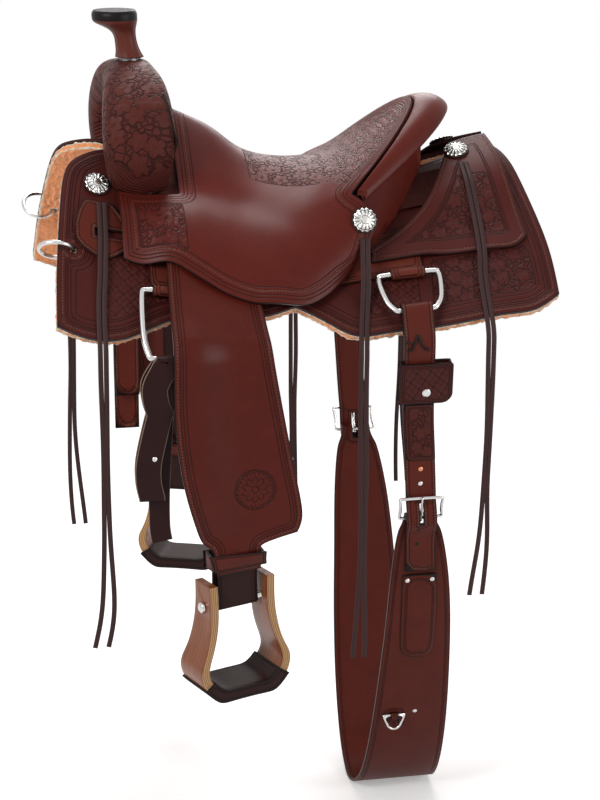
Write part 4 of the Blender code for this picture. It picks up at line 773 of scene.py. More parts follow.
def hold_shape(obj: bpy.types.Object, rounds: int = 3) -> None:
    """Moves the points so that the surface passes through where they were once it has been smoothed.

    Args:
        obj: the object, before its smoothing.
        rounds: how often the points are moved by what is still missing.
    """
    target = coordinates(obj)
    modifier = obj.modifiers.new("trial", "SUBSURF")
    modifier.levels = modifier.render_levels = 2
    for _ in range(rounds):
        shown = obj.evaluated_get(bpy.context.evaluated_depsgraph_get())
        reached = coordinates(shown)[: len(target)]
        set_coordinates(obj, coordinates(obj) + 0.8 * (target - reached))
    obj.modifiers.remove(modifier)


def is_sharp(edge: bmesh.types.BMEdge, degrees: float) -> bool:
    """Whether an edge is open, or folds by more than an angle."""
    return len(edge.link_faces) != 2 or edge.calc_face_angle(0.0) > math.radians(degrees)


def mark_sharp(obj: bpy.types.Object, degrees: float) -> None:
    """Creases the sharp edges.

    Args:
        obj: the object.
        degrees: the fold from which an edge is sharp.
    """
    bm = bmesh.new()
    bm.from_mesh(obj.data)
    layer = bm.edges.layers.float.get("crease_edge") or bm.edges.layers.float.new("crease_edge")
    for edge in bm.edges:
        edge[layer] = float(is_sharp(edge, degrees))
    bm.to_mesh(obj.data)
    bm.free()


RIMS: dict[str, list[np.ndarray]] = {}


def record_rim(obj: bpy.types.Object, degrees: float) -> None:
    """Walks the sharp edges of the mesh as lines, and keeps their points for measure().

    Args:
        obj: the object.
        degrees: the fold from which an edge is sharp.
    """
    bm = bmesh.new()
    bm.from_mesh(obj.data)
    left = {edge for edge in bm.edges if is_sharp(edge, degrees)}
    RIMS[obj.name] = []
    while left:
        edge = left.pop()
        chain = [edge.verts[0], edge.verts[1]]
        for front in (False, True):
            while ahead := [e for e in chain[0 if front else -1].link_edges if e in left]:
                left.discard(ahead[0])
                other = ahead[0].other_vert(chain[0 if front else -1])
                chain.insert(0, other) if front else chain.append(other)
        RIMS[obj.name].append(np.array([vert.co for vert in chain], float))
    bm.free()


def lengths(line: np.ndarray) -> np.ndarray:
    """The length run at each point of a line."""
    return np.concatenate([[0.0], np.cumsum(np.linalg.norm(np.diff(line, axis=0), axis=1))])


def pick(at: np.ndarray, marks: np.ndarray, points: np.ndarray) -> np.ndarray:
    """Points between given ones, by marks that rise from one to the next."""
    return np.stack([np.interp(at, marks, points[:, k]) for k in range(3)], axis=1)


def nearest(places: np.ndarray, points: np.ndarray) -> tuple[np.ndarray, np.ndarray]:
    """Finds the nearest place to each point.

    Args:
        places: what is searched.
        points: what it is searched for.

    Returns:
        The index of each point's nearest place, and how far off it is.
    """
    tree = KDTree(len(places))
    for index, place in enumerate(places):
        tree.insert(place, index)
    tree.balance()
    found = [tree.find(point) for point in points]
    return np.array([hit[1] for hit in found]), np.array([hit[2] for hit in found])


def coordinates(obj: bpy.types.Object) -> np.ndarray:
    """Reads the object's points.

    Args:
        obj: the object.

    Returns:
        The points, one a row.
    """
    flat = np.empty(len(obj.data.vertices) * 3, np.float32)
    obj.data.vertices.foreach_get("co", flat)
    return flat.reshape(-1, 3).astype(float)


def set_coordinates(obj: bpy.types.Object, points: np.ndarray) -> None:
    """Moves the object's points."""
    obj.data.vertices.foreach_set("co", points.astype(np.float32).ravel())
    obj.data.update()


def directions(obj: bpy.types.Object) -> np.ndarray:
    """The normals at the object's points."""
    return np.array([vert.normal for vert in obj.data.vertices], float)


def carry(obj: bpy.types.Object, name: str, values: np.ndarray) -> None:
    """Stores one number at each point."""
    layer = obj.data.attributes.get(name) or obj.data.attributes.new(name, "FLOAT", "POINT")
    layer.data.foreach_set("value", values.astype(np.float32))


def measure(obj: bpy.types.Object, step: float = 0.0012) -> np.ndarray:
    """Stores how far each point lies from the sharp edges, and where along them.

    Args:
        obj: a piece whose rim was recorded.
        step: how close together the edges are sampled, in metres.

    Returns:
        The distances, in metres.
    """
    places, runs = [], []
    for line in RIMS[obj.name]:
        marks = lengths(line)
        runs.append(np.linspace(0.0, marks[-1], max(2, int(marks[-1] / step) + 1)))
        places.append(pick(runs[-1], marks, line))
    index, far = nearest(np.concatenate(places), coordinates(obj))
    carry(obj, "edge", far)
    carry(obj, "run", np.concatenate(runs)[index])
    return far


def set_flat(obj: bpy.types.Object, u: np.ndarray, v: np.ndarray) -> None:
    """Stores flat coordinates, one pair a point, in the UV map pattern.

    Args:
        obj: the object.
        u: the first of each pair.
        v: the second.
    """
    layer = obj.data.uv_layers.get("pattern") or obj.data.uv_layers.new(name="pattern")
    corners = np.empty(len(obj.data.loops), np.int32)
    obj.data.loops.foreach_get("vertex_index", corners)
    layer.data.foreach_set("uv", np.stack([u, v], axis=1)[corners].astype(np.float32).ravel())


def lay_flat(obj: bpy.types.Object) -> None:
    """Flat coordinates for leather that lies over the saddle: along the horse, and down from the ridge."""
    p = coordinates(obj)
    set_flat(obj, p[:, 0], np.hypot(p[:, 1], p[:, 2] - 0.10) - 0.02 * p[:, 2])


def bulk_flat(obj: bpy.types.Object) -> None:
    """Flat coordinates for a bulky piece, which turn with its sides."""
    p = coordinates(obj)
    set_flat(obj, p[:, 0] + 0.5 * np.abs(p[:, 1]), p[:, 2] - 0.7 * np.abs(p[:, 1]))


def fields(obj: bpy.types.Object, **values: np.ndarray) -> None:
    """Stores the fields basket, floral and ridged, with none where they aren't given."""
    for name, nothing in (("basket", -1.0), ("floral", -1.0), ("ridged", 0.0)):
        carry(obj, name, values.get(name, np.full(len(obj.data.vertices), nothing)))


def bare(obj: bpy.types.Object) -> None:
    """Marks a piece as having neither edge nor fields.

    Args:
        obj: the piece.
    """
    carry(obj, "edge", np.ones(len(obj.data.vertices)))
    carry(obj, "run", np.zeros(len(obj.data.vertices)))
    fields(obj)
    bulk_flat(obj)


def roughen(obj: bpy.types.Object, size: float, scale: float, seed: float = 0.0) -> None:
    """Moves the points in and out along their normals by noise.

    Args:
        obj: the object.
        size: the furthest that a point moves.
        scale: the noise's cells per metre.
        seed: where in the noise it starts.
    """
    points = coordinates(obj)
    steps = np.array([noise.noise(Vector(p) * scale + Vector((seed, 0, 0))) for p in points])
    set_coordinates(obj, points + directions(obj) * (steps * size)[:, None])


def inside(points: np.ndarray, outline: Sequence[tuple[float, float]]) -> np.ndarray:
    """How far points lie inside an outline in the XZ plane.

    Args:
        points: the points.
        outline: its corners, as (x, z).

    Returns:
        The distances, negative outside it.
    """
    p = points[:, [0, 2]]
    far = np.full(len(p), np.inf)
    within = np.zeros(len(p), bool)
    corners = np.array(outline)
    for a, b in zip(corners, np.roll(corners, -1, axis=0)):
        d = b - a
        t = np.clip(((p - a) @ d) / max(d @ d, 1e-12), 0, 1)
        far = np.minimum(far, np.linalg.norm(p - a - t[:, None] * d, axis=1))
        level = a[0] + (p[:, 1] - a[1]) / (d[1] if d[1] else 1e-12) * d[0]
        within ^= ((a[1] > p[:, 1]) != (b[1] > p[:, 1])) & (p[:, 0] < level)
    return np.where(within, far, -far)


def smoothstep(values: np.ndarray, low: float, high: float) -> np.ndarray:
    """Eases from 0 at low to 1 at high."""
    t = np.clip((values - low) / (high - low), 0, 1)
    return t * t * (3 - 2 * t)


def swept(name: str, path: np.ndarray, section: np.ndarray, ups: np.ndarray, closed: bool = False) -> bpy.types.Object:
    """A solid with a constant section along a path.

    Args:
        name: the object's name.
        path: the places that the section's middle passes through.
        section: the section's points as (across, up).
        ups: the up direction at each place, or one for all.
        closed: whether the path joins up with itself.

    Returns:
        The object.
    """
    ahead = np.roll(path, -1, axis=0) - np.roll(path, 1, axis=0)
    if not closed:
        ahead[0], ahead[-1] = path[1] - path[0], path[-1] - path[-2]
    ahead /= np.linalg.norm(ahead, axis=1)[:, None]
    up = np.broadcast_to(np.asarray(ups, float), path.shape)
    up = up - ahead * (up * ahead).sum(1)[:, None]
    up /= np.linalg.norm(up, axis=1)[:, None]
    bm = bmesh.new()
    rings = [
        [bm.verts.new(place + side * a + high * b) for a, b in section]
        for place, side, high in zip(path, np.cross(ahead, up), up)
    ]
    bridge(bm, rings + rings[:1] if closed else rings)
    if not closed:
        bm.faces.new(rings[0])
        bm.faces.new(rings[-1])
    bmesh.ops.recalc_face_normals(bm, faces=bm.faces)
    obj = link_bmesh(name, bm)
    smooth_by(obj, 50)
    return obj


def ribbon(
    name: str, path: np.ndarray, ups: np.ndarray, width: float, thick: float, closed: bool = False
) -> bpy.types.Object:
    """A strap along a path, with the attributes that leather finishes read.

    Args:
        name: the object's name.
        path: the places that the strap's middle passes through.
        ups: the direction that its face looks in at each place, or one for all.
        width: its width.
        thick: its thickness.
        closed: whether it joins up with itself.

    Returns:
        The object.
    """
    w, t, c = width / 2, thick / 2, thick * 0.3
    half = [w, w - c, w - c - 0.0008, w - 0.004]
    across = [-a for a in half] + [0.0] + half[::-1]
    section = [(a, t if 0 < k < 8 else t - c) for k, a in enumerate(across)]
    section += [(a, -b) for a, b in reversed(section)]
    obj = swept(name, path, np.array(section), ups, closed)
    carry(obj, "edge", np.tile([w - abs(a) for a, _ in section], len(path)))
    carry(obj, "run", np.repeat(lengths(path), len(section)))
    fields(obj)
    bulk_flat(obj)
    return obj


def round_section(radius: float, count: int = 12) -> np.ndarray:
    """A circle, for swept()."""
    turns = np.linspace(0, 2 * math.pi, count, endpoint=False)
    return np.stack([np.cos(turns) * radius, np.sin(turns) * radius], axis=1)


def flat_section(width: float, thick: float, corner: float = 0.3) -> np.ndarray:
    """A strap's section, for swept().

    Args:
        width: the strap's width.
        thick: its thickness.
        corner: its corners' cut, as a share of the thickness.

    Returns:
        The section's points.
    """
    w, t, c = width / 2, thick / 2, thick * corner
    right = [(w - c, -t), (w, c - t), (w, t - c), (w - c, t)]
    return np.array(right + [(-a, b) for a, b in right[::-1]])


def spline(points: Sequence[Sequence[float]], count: int, closed: bool = False) -> np.ndarray:
    """A smooth line through points (Catmull-Rom).

    Args:
        points: the points.
        count: how many points it gets, evenly spaced.
        closed: whether it joins up with itself.

    Returns:
        The line's points.
    """
    p = np.asarray(points, float)
    n = len(p)
    out = []
    for i in range(n if closed else n - 1):
        span = [(i + k) % n if closed else min(max(i + k, 0), n - 1) for k in (-1, 0, 1, 2)]
        a, b, c, d = p[span]
        t = np.linspace(0, 1, 24, endpoint=False)[:, None]
        out.append(0.5 * (2 * b + (c - a) * t + (2 * a - 5 * b + 4 * c - d) * t**2 + (3 * b - a - 3 * c + d) * t**3))
    line = np.concatenate(out + [p[:1] if closed else p[-1:]])
    marks = lengths(line)
    even = pick(np.linspace(0, marks[-1], count + closed), marks, line)
    return even[:-1] if closed else even


def mirror(points: Sequence[Sequence[float]], side: Side) -> np.ndarray:
    """Points of the off side, on either side."""
    return np.asarray(points, float) * np.array([1.0, side.value, 1.0])


def bake_place(obj: bpy.types.Object, place: Sequence[float], axis: Sequence[float]) -> None:
    """Moves a mesh made at the origin to a place, with its Z along an axis, and leaves its object at the origin."""
    turn = Vector((0, 0, 1)).rotation_difference(Vector(axis).normalized()).to_matrix().to_4x4()
    obj.data.transform(Matrix.Translation(Vector(place)) @ turn)


def disc(
    name: str, profile: Sequence[tuple[float, float]], place: Sequence[float], axis: Sequence[float], count: int = 32
) -> bpy.types.Object:
    """A turned solid.

    Args:
        name: the object's name.
        profile: its (radius, height) from the middle of its top to the middle of its foot.
        place: where the middle of its foot lies.
        axis: the direction of its height.
        count: how many faces it has around.

    Returns:
        The object.
    """
    bm = bmesh.new()
    turns = [2 * math.pi * k / count for k in range(count)]
    rings = [
        [bm.verts.new((radius * math.cos(t), radius * math.sin(t), height)) for t in (turns if radius else (0.0,))]
        for radius, height in profile
    ]
    for a, b in zip(rings, rings[1:]):
        for k in range(count):
            corners = (a[k % len(a)], b[k % len(b)], b[(k + 1) % len(b)], a[(k + 1) % len(a)])
            bm.faces.new(list(dict.fromkeys(corners)))
    bmesh.ops.recalc_face_normals(bm, faces=bm.faces)
    obj = link_bmesh(name, bm)
    bake_place(obj, place, axis)
    smooth_by(obj, 35)
    return obj


HOLE = ((0, 0.0003), (0.0024, 0.0003), (0.0030, 0.0001), (0.0030, -0.0004), (0, -0.0004))
RIVET = ((0, 0.0016), (0.0022, 0.0013), (0.0034, 0.0004), (0.0036, -0.0004), (0, -0.0004))
SNAP = ((0, 0.0014), (0.0030, 0.0020), (0.0046, 0.0022), (0.0062, 0.0013), (0.0066, -0.0004), (0, -0.0004))


# Tools that read the pieces already made


def surface(obj: bpy.types.Object) -> BVHTree:
    """A search tree over the object's faces."""
    return BVHTree.FromPolygons([Vector(p) for p in coordinates(obj)], [tuple(f.vertices) for f in obj.data.polygons])


def outer_point(tree: BVHTree, x: float, z: float, side: Side) -> tuple[np.ndarray, np.ndarray] | None:
    """The outermost point of a surface at (x, z) on one side.

    Args:
        tree: the surface.
        x: place along the horse.
        z: height.
        side: the side it is looked at from.

    Returns:
        The point and its outward normal, or None where there is no surface.
    """
    place, normal, _, _ = tree.ray_cast(Vector((x, 0.6 * side.value, z)), Vector((0, -side.value, 0)), 0.6)
    if place is None:
        return None
    normal = normal if normal.y * side.value > 0 else -normal
    return np.array(place), np.array(normal)


def outer_line(tree: BVHTree, spots: Iterable[tuple[float, float]], side: Side, rise: float = 0.0) -> np.ndarray:
    """The outermost points of a surface at several places.

    Args:
        tree: the surface.
        spots: the places, as (x, z); those off the surface are left out.
        side: the side it is looked at from.
        rise: how far off the surface the points lie.

    Returns:
        The points.
    """
    found = [outer_point(tree, x, z, side) for x, z in spots]
    return np.array([hit[0] + hit[1] * rise for hit in found if hit is not None])


def patch(
    name: str, tree: BVHTree, side: Side, rows: Sequence[tuple[float, float, float]], thick: float, columns: int
) -> bpy.types.Object:
    """A flat piece that lies on a surface.

    Args:
        name: the object's name.
        tree: the surface that it lies on.
        side: the side it is on.
        rows: its outline from its top down, as (height, middle's x, half width).
        thick: its thickness at its middle.
        columns: how many faces it has across.

    Returns:
        The object, with its rim recorded.
    """
    bm = bmesh.new()
    grid = []
    for z, centre, half in rows:
        middle = outer_point(tree, centre, z, side)
        line = []
        for i in range(columns + 1):
            t = i / columns
            x = centre + half * (2 * t - 1)
            y = (outer_point(tree, x, z, side) or middle)[0][1]
            y = y if abs(y - middle[0][1]) < 0.012 else middle[0][1]
            line.append(bm.verts.new(np.array((x, y, z)) + middle[1] * thick * min(1.0, 0.35 + 4.0 * min(t, 1 - t))))
        grid.append(line)
    for a, b in zip(grid, grid[1:]):
        for i in range(columns):
            bm.faces.new((a[i], a[i + 1], b[i + 1], b[i]))
    bm.normal_update()
    if sum(f.normal.y for f in bm.faces) * side.value < 0:
        bmesh.ops.reverse_faces(bm, faces=bm.faces)
    obj = link_bmesh(name, bm)
    apply_modifier(obj, "SOLIDIFY", thickness=thick + 0.0008, offset=-1.0)
    record_rim(obj, 50)
    round_edges(obj, 0.0006, 50)
    smooth_by(obj, 60)
    return obj


def join(name: str, parts: Sequence[bpy.types.Object]) -> bpy.types.Object:
    """Joins small parts of one finish into one bare piece.

    Args:
        name: the piece's name.
        parts: the parts.

    Returns:
        The piece.
    """
    activate(parts[0])
    for part in parts:
        part.select_set(True)
    bpy.ops.object.join()
    parts[0].name = name
    bare(parts[0])
    return parts[0]


def studs(
    name: str, profile: Sequence[tuple[float, float]], tree: BVHTree, side: Side, spots: Sequence[Point]
) -> bpy.types.Object:
    """Small turned parts that sit on a surface, as one bare piece.

    Args:
        name: the piece's name.
        profile: the profile of each, as for disc().
        tree: the surface.
        side: the side they are on.
        spots: their places, as (x, z, rise off the surface).

    Returns:
        The piece.
    """
    found = [(outer_point(tree, x, z, side), rise) for x, z, rise in spots]
    return join(name, [disc(name, profile, hit[0] + hit[1] * rise, hit[1], 20) for hit, rise in found if hit])


# Pieces in the frame

Hold = str | tuple[str, str, Sequence[float], Sequence[float]]


def settle(obj: bpy.types.Object, finish: Finish, hold: Hold, node: str | None = None) -> bpy.types.Object:
    """Paints a piece, hides the CAD node in whose place it comes, and hangs it on its body.

    Args:
        obj: the piece.
        finish: its finish.
        hold: the body that it rides on, or the two that it would bend between with the bend's start and end; with two,
            these are not used and the piece is baked in place on no body.
        node: the CAD node in whose place it comes.

    Returns:
        The piece.
    """
    paint(obj, finish)
    if node:
        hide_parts(node)
    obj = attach(obj, hold) if isinstance(hold, str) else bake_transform(obj)
    return obj


def dress(
    node: str,
    finish: Finish,
    hold: Hold,
    levels: int = 2,
    crease: float = 50.0,
    bevel: float = 0.0007,
    stamps: Callable[[np.ndarray, np.ndarray], dict[str, np.ndarray]] | None = None,
    flat: Callable[[bpy.types.Object], None] = lay_flat,
    wear: Sequence[tuple[float, ...]] = (),
) -> bpy.types.Object:
    """Puts a smooth, finished copy of a CAD node in its place.

    Args:
        node: the CAD node.
        finish: its finish.
        hold: what it hangs on, as for settle().
        levels: how often its faces are halved.
        crease: edges that fold by more than this angle, in degrees, stay sharp.
        bevel: the radius of the sharp edges, in metres.
        stamps: gives its stamped fields from its points and their distances from its edge.
        flat: gives it its flat coordinates.
        wear: what roughen() is told, once for each roughening.

    Returns:
        The piece.
    """
    obj = soft_copy(node, levels, crease, bevel)
    edge = measure(obj)
    fields(obj, **(stamps(coordinates(obj), edge) if stamps else {}))
    for step in wear:
        roughen(obj, *step)
    flat(obj)
    return settle(obj, finish, hold, node)


def dress_metal(node: str, body: str, crease: float = 80.0) -> bpy.types.Object:
    """Puts a smooth steel copy of a CAD node in its place.

    Args:
        node: the CAD node.
        body: the body that it rides on.
        crease: edges that fold by more than this angle, in degrees, stay sharp.

    Returns:
        The piece.
    """
    obj = soft_copy(node, 2, crease, 0.0)
    bare(obj)
    return settle(obj, STEEL, body, node)


# Sub-assemblies


@dataclass
class ForkAndHorn:
    """The carved cover of the swells and the leather of the horn."""

    welt: float = 0.0026
    rim_z: float = 0.2970
    line_height: float = 0.150
    # The welt's places, as (x, height)
    welt_line: tuple = (
        (-0.300, 0.062), (-0.285, 0.060), (-0.262, 0.058), (-0.238, 0.058), (-0.218, 0.062), (-0.206, 0.074),
        (-0.203, 0.095), (-0.203, 0.125), (-0.2055, 0.155), (-0.211, 0.182), (-0.217, 0.200),
    )
    # The neck's middle, as heights and their x
    neck: tuple = ((0.24, 0.275, 0.295), (-0.252, -0.258, -0.271))
    fold_depth: float = 0.0005

    def stamps(self, p: np.ndarray, edge: np.ndarray) -> dict[str, np.ndarray]:
        """Carving above the line on the swells, and fine lines below it."""
        low = smoothstep(p[:, 2], self.line_height, self.line_height - 0.02)
        return {"floral": edge - 0.008 - 0.028 * low, "ridged": low * smoothstep(edge, 0.034, 0.031)}

    def welts(self) -> bpy.types.Object:
        """The thick dark welt along the cover's lower and rear edge, on both sides.

        Returns:
            The piece.
        """
        tree = surface(bpy.data.objects["fork_cover_skin"])
        parts = []
        for side in Side:
            path = spline(outer_line(tree, self.welt_line, side), 60)
            parts.append(swept(f"welt_{side.label}", path, round_section(self.welt), (0, side.value, 0.3)))
        return settle(join("fork_welts", parts), WELT_LEATHER, "tree")

    def horn(self) -> bpy.types.Object:
        """Dresses the horn: a wrapped neck with upright folds, a flared cap and a dark burnished rim.

        Returns:
            The piece.
        """
        obj = soft_copy("horn_cover", 3, 50.0, 0.0)
        p = coordinates(obj)
        centre = np.stack([np.interp(p[:, 2], *self.neck), np.zeros(len(p))], axis=1)
        around = np.arctan2(p[:, 1], p[:, 0] - centre[:, 0])
        folds = np.sin(around * 11 + 3 * np.sin(around * 3)) * smoothstep(p[:, 2], 0.292, 0.270)
        away = p[:, :2] - centre
        p[:, :2] += away / np.linalg.norm(away, axis=1)[:, None] * (folds * self.fold_depth)[:, None]
        set_coordinates(obj, p)
        bare(obj)
        carry(obj, "edge", np.maximum(self.rim_z - p[:, 2], 0.0))
        return settle(obj, HORN_LEATHER, "tree", "horn_cover")

    def build(self) -> None:
        """Builds all three."""
        dress("fork_cover", SWELL_LEATHER, "tree", 3, stamps=self.stamps, flat=bulk_flat)
        self.welts()
        self.horn()


@dataclass
class Seat:
    """The padded seat with its side jockeys, and the roll of its cantle."""

    rim_border: float = 0.017
    field_front: float = -0.088
    field_half: float = 0.088
    wing_front: float = -0.196
    wing_border: float = 0.026
    fill: float = 0.7

    def stamps(self, p: np.ndarray, edge: np.ndarray) -> dict[str, np.ndarray]:
        """Carving in the dish and on the wings, and none where the rider's legs lie.

        Args:
            p: the seat's points.
            edge: how far each lies from the edge.

        Returns:
            The field of the carving.
        """
        wide = self.field_half + (p[:, 0] + 0.05) * 0.30 + np.maximum(p[:, 0] - 0.02, 0.0) * 1.2
        dish = np.minimum.reduce([wide - np.abs(p[:, 1]), p[:, 0] - self.field_front, edge - self.rim_border])
        return {"floral": np.maximum(dish, np.minimum(self.wing_front - p[:, 0], edge - self.wing_border))}

    def lay(self, obj: bpy.types.Object) -> None:
        """Flat coordinates that run up the cantle."""
        p = coordinates(obj)
        set_flat(obj, p[:, 0] + 0.6 * np.maximum(0, p[:, 2] - 0.09), np.hypot(p[:, 1], p[:, 2] - 0.10))

    def build(self) -> None:
        """Builds the seat, and the cantle's back with its wide rolled rim."""
        seat = dress("seat_cover", SEAT_LEATHER, "tree", 3, stamps=self.stamps, flat=self.lay)
        roll = soft_copy("cantle_back", 3, 70.0, 0.0)
        bare(roll)
        settle(roll, CANTLE_LEATHER, "tree", "cantle_back")


@dataclass
class Housings:
    """Skirts, wool linings and back jockeys, with their stamped fields as outlines in (x, z)."""

    front_field: tuple = ((-0.320, -0.012), (-0.205, -0.012), (-0.205, -0.092), (-0.316, -0.090))
    middle_field: tuple = ((0.060, -0.030), (0.136, -0.036), (0.132, -0.112), (0.060, -0.112))
    rear_field: tuple = ((0.160, -0.040), (0.318, -0.020), (0.308, -0.082), (0.150, -0.108))
    jockey_field: tuple = ((0.160, 0.060), (0.290, 0.075), (0.292, -0.002), (0.162, -0.012))
    jockey_weave: tuple = ((0.090, 0.060), (0.151, 0.060), (0.151, -0.020), (0.090, -0.020))
    # Tufts and curls of the wool, as roughen() takes them
    wool: tuple = ((0.0022, 170.0), (0.0011, 420.0, 7.0))

    def skirt_stamps(self, p: np.ndarray, edge: np.ndarray) -> dict[str, np.ndarray]:
        """Weave in front and in the middle of a skirt, and carving at its rear.

        Args:
            p: the skirt's points.
            edge: how far each lies from the edge.

        Returns:
            The fields of the weave and the carving.
        """
        weave = np.maximum(inside(p, self.front_field), inside(p, self.middle_field))
        carved = np.minimum(inside(p, self.rear_field), edge - 0.032)
        return {"basket": np.minimum(weave, edge - 0.030), "floral": carved}

    def jockey_stamps(self, p: np.ndarray, edge: np.ndarray) -> dict[str, np.ndarray]:
        """Weave in front on a back jockey, and carving behind it."""
        outlines = {"floral": self.jockey_field, "basket": self.jockey_weave}
        return {name: np.minimum(inside(p, outline), edge - 0.029) for name, outline in outlines.items()}

    def build(self) -> None:
        """Builds both sides."""
        for side in Side:
            skirt, fleece, jockey = (f"{name}_{side.label}" for name in ("skirt", "fleece", "back_jockey"))
            dress(skirt, SKIRT_LEATHER, "tree", 3, stamps=self.skirt_stamps)
            dress(fleece, SHEEPSKIN, "tree", 4, bevel=0.0, wear=self.wool)
            dress(jockey, JOCKEY_LEATHER, "tree", 3, stamps=self.jockey_stamps)


@dataclass
class Rigging:
    """Rigging leathers, dees, rings, the six-sided latigo keeper and the off billet."""

    def build(self) -> None:
        """Builds the rigging of both sides."""
        for side in Side:
            dress(f"rigging_{side.label}", RIGGING_LEATHER, "tree", crease=40.0)
            dress_metal(f"front_dee_{side.label}", f"front_dee_{side.label}")
            dress_metal(f"rear_dee_{side.label}", "tree")
            dress_metal(f"breast_dee_{side.label}", f"breast_dee_{side.label}")
        dress("latigo_keeper", STRAP_LEATHER, "tree", crease=35.0)
        dress("off_billet", STRAP_LEATHER, "off_billet", 3, wear=((0.0006, 40.0),))


@dataclass
class Latigo:
    """The tie strap: two loops through the near front dee and a hanging tail, with raw edges."""

    bow_y: float = -0.27464
    bow_radius: float = 0.0024
    thick: float = 0.0028
    width: float = 0.036
    tail_width: float = 0.030
    # The middle of each loop and of the tail from the bow down, as (x, height)
    short_loop: tuple = (
        (-0.2385, -0.1420), (-0.2480, -0.1560), (-0.2580, -0.1760), (-0.2560, -0.2000), (-0.2500, -0.2160),
    )
    long_loop: tuple = (
        (-0.2385, -0.1420), (-0.2450, -0.1900), (-0.2580, -0.2400), (-0.2680, -0.2850), (-0.2685, -0.3150),
        (-0.2640, -0.3380),
    )
    tail: tuple = ((-0.2400, -0.1500), (-0.2460, -0.2300), (-0.2520, -0.3200), (-0.2530, -0.3800), (-0.2500, -0.4060))
    rivet: tuple[float, float] = (-0.2600, -0.2790)

    def loop(self, name: str, line: tuple, gap: float) -> bpy.types.Object:
        """One closed loop over the bow.

        Args:
            name: the object's name.
            line: its middle from the bow down, as (x, height).
            gap: half the room between its two layers.

        Returns:
            The object.
        """
        down = spline([(x, 0, z) for x, z in line], 40)
        swell = gap + 0.004 * np.sin(np.linspace(0, math.pi, len(down)))
        front = down + np.outer(self.bow_y - swell, (0, 1, 0))
        back = down + np.outer(self.bow_y + swell * 0.8, (0, 1, 0))
        turns = np.linspace(0, math.pi, 9)[1:-1]
        foot, top = (
            [(x, self.bow_y - sign * gap * math.cos(t), z - sign * gap * math.sin(t)) for t in turns]
            for (x, _, z), sign in ((down[-1], 1), (down[0], -1))
        )
        path = spline(np.concatenate([front, foot, back[::-1], top]), 150, closed=True)
        ahead = np.roll(path, -1, axis=0) - np.roll(path, 1, axis=0)
        return ribbon(name, path, np.cross(ahead, (1.0, 0.0, 0.0)), self.width, self.thick, closed=True)

    def build(self) -> None:
        """Builds the strap in the place of its CAD solid, with a rivet."""
        bow = self.thick / 2 + self.bow_radius
        first = self.loop("latigo_short_loop", self.short_loop, bow + self.thick * 1.2)
        second = self.loop("latigo_long_loop", self.long_loop, bow)
        depths = [self.bow_y + (0.0085 if index else 0.0095) for index in range(len(self.tail))]
        line = spline([(x, y, z) for (x, z), y in zip(self.tail, depths)], 70)
        tail = ribbon("latigo_tail", line, (0.0, -1.0, 0.0), self.tail_width, self.thick)
        for part, node in ((first, "latigo"), (second, None), (tail, None)):
            settle(part, LATIGO_LEATHER, "latigo", node)
        place = (self.rivet[0], self.bow_y - bow - 0.0046, self.rivet[1])
        rivet = disc("latigo_rivet", RIVET, place, (0.0, -1.0, 0.0), 20)
        bare(rivet)
        settle(rivet, STEEL, "latigo")


@dataclass
class Leathers:
    """Fenders and stirrup leathers, and hobble straps."""

    medallion: tuple[float, float] = (-0.118, -0.335)
    bend: tuple[Point, Point] = ((-0.146, 0.150, 0.020), (-0.146, 0.150, -0.060))

    def build(self) -> None:
        """Builds both sides."""
        for side in Side:
            body = f"leathers_{side.label}"
            hold = ("tree", body, *mirror(self.bend, side))
            fender = dress(f"fender_{side.label}", FENDER_LEATHER, hold, 3)
            p = coordinates(fender)
            carry(fender, "medal_x", p[:, 0] - self.medallion[0])
            carry(fender, "medal_z", p[:, 2] - self.medallion[1])
            dress(f"stirrup_leather_{side.label}", DARK_LEATHER, hold)
            dress(f"hobble_strap_{side.label}", HOBBLE_LEATHER, body, flat=bulk_flat)


@dataclass
class Stirrups:
    """The bent oak stirrups with their bolts and wrapped treads."""

    bolt: Point = (-0.146, 0.26285, -0.505)
    twist: float = math.radians(21)
    top: float = 0.041
    bottom: float = 0.061
    above: float = 0.036
    floor: float = -0.122
    wood: float = 0.012

    def bow(self, side: Side) -> bpy.types.Object:
        """Dresses the wooden bow, with the place of each point in its layers.

        Args:
            side: the side it is on.

        Returns:
            The piece.
        """
        body = f"stirrup_{side.label}"
        obj = soft_copy(body, 3, 40.0, 0.0016)
        # Places as (along the bolt, height over it, across the tread)
        p = mirror(coordinates(obj), side) - self.bolt
        c, s = math.cos(self.twist), math.sin(self.twist)
        along, across = s * p[:, 1] - c * p[:, 0], s * p[:, 0] + c * p[:, 1]
        half = [
            (self.top, self.above), (self.top, -0.014), (self.top * 0.55 + self.bottom * 0.45, self.floor * 0.45),
            (self.bottom, self.floor + 0.036), (self.bottom - 0.006, self.floor + 0.016),
            (self.bottom - 0.022, self.floor + 0.002), (0.45 * (self.bottom - 0.022), self.floor),
        ]
        line = spline([(a, h, 0) for a, h in half + [(-a, h) for a, h in half[::-1]]], 300)
        index, far = nearest(line, np.stack([along, p[:, 2], 0 * across], axis=1))
        carry(obj, "layer", np.clip(far / self.wood, 0, 1))
        carry(obj, "run", lengths(line)[index])
        carry(obj, "across", across)
        carry(obj, "side", np.abs(directions(obj) @ (s, c * side.value, 0.0)))
        return settle(obj, OAK, body, body)

    def build(self) -> None:
        """Builds both stirrups."""
        for side in Side:
            body = f"stirrup_{side.label}"
            self.bow(side)
            dress(f"tread_cover_{side.label}", DARK_LEATHER, body, 3, crease=70.0, flat=bulk_flat)
            dress_metal(f"stirrup_bolt_{side.label}", body, 40.0)


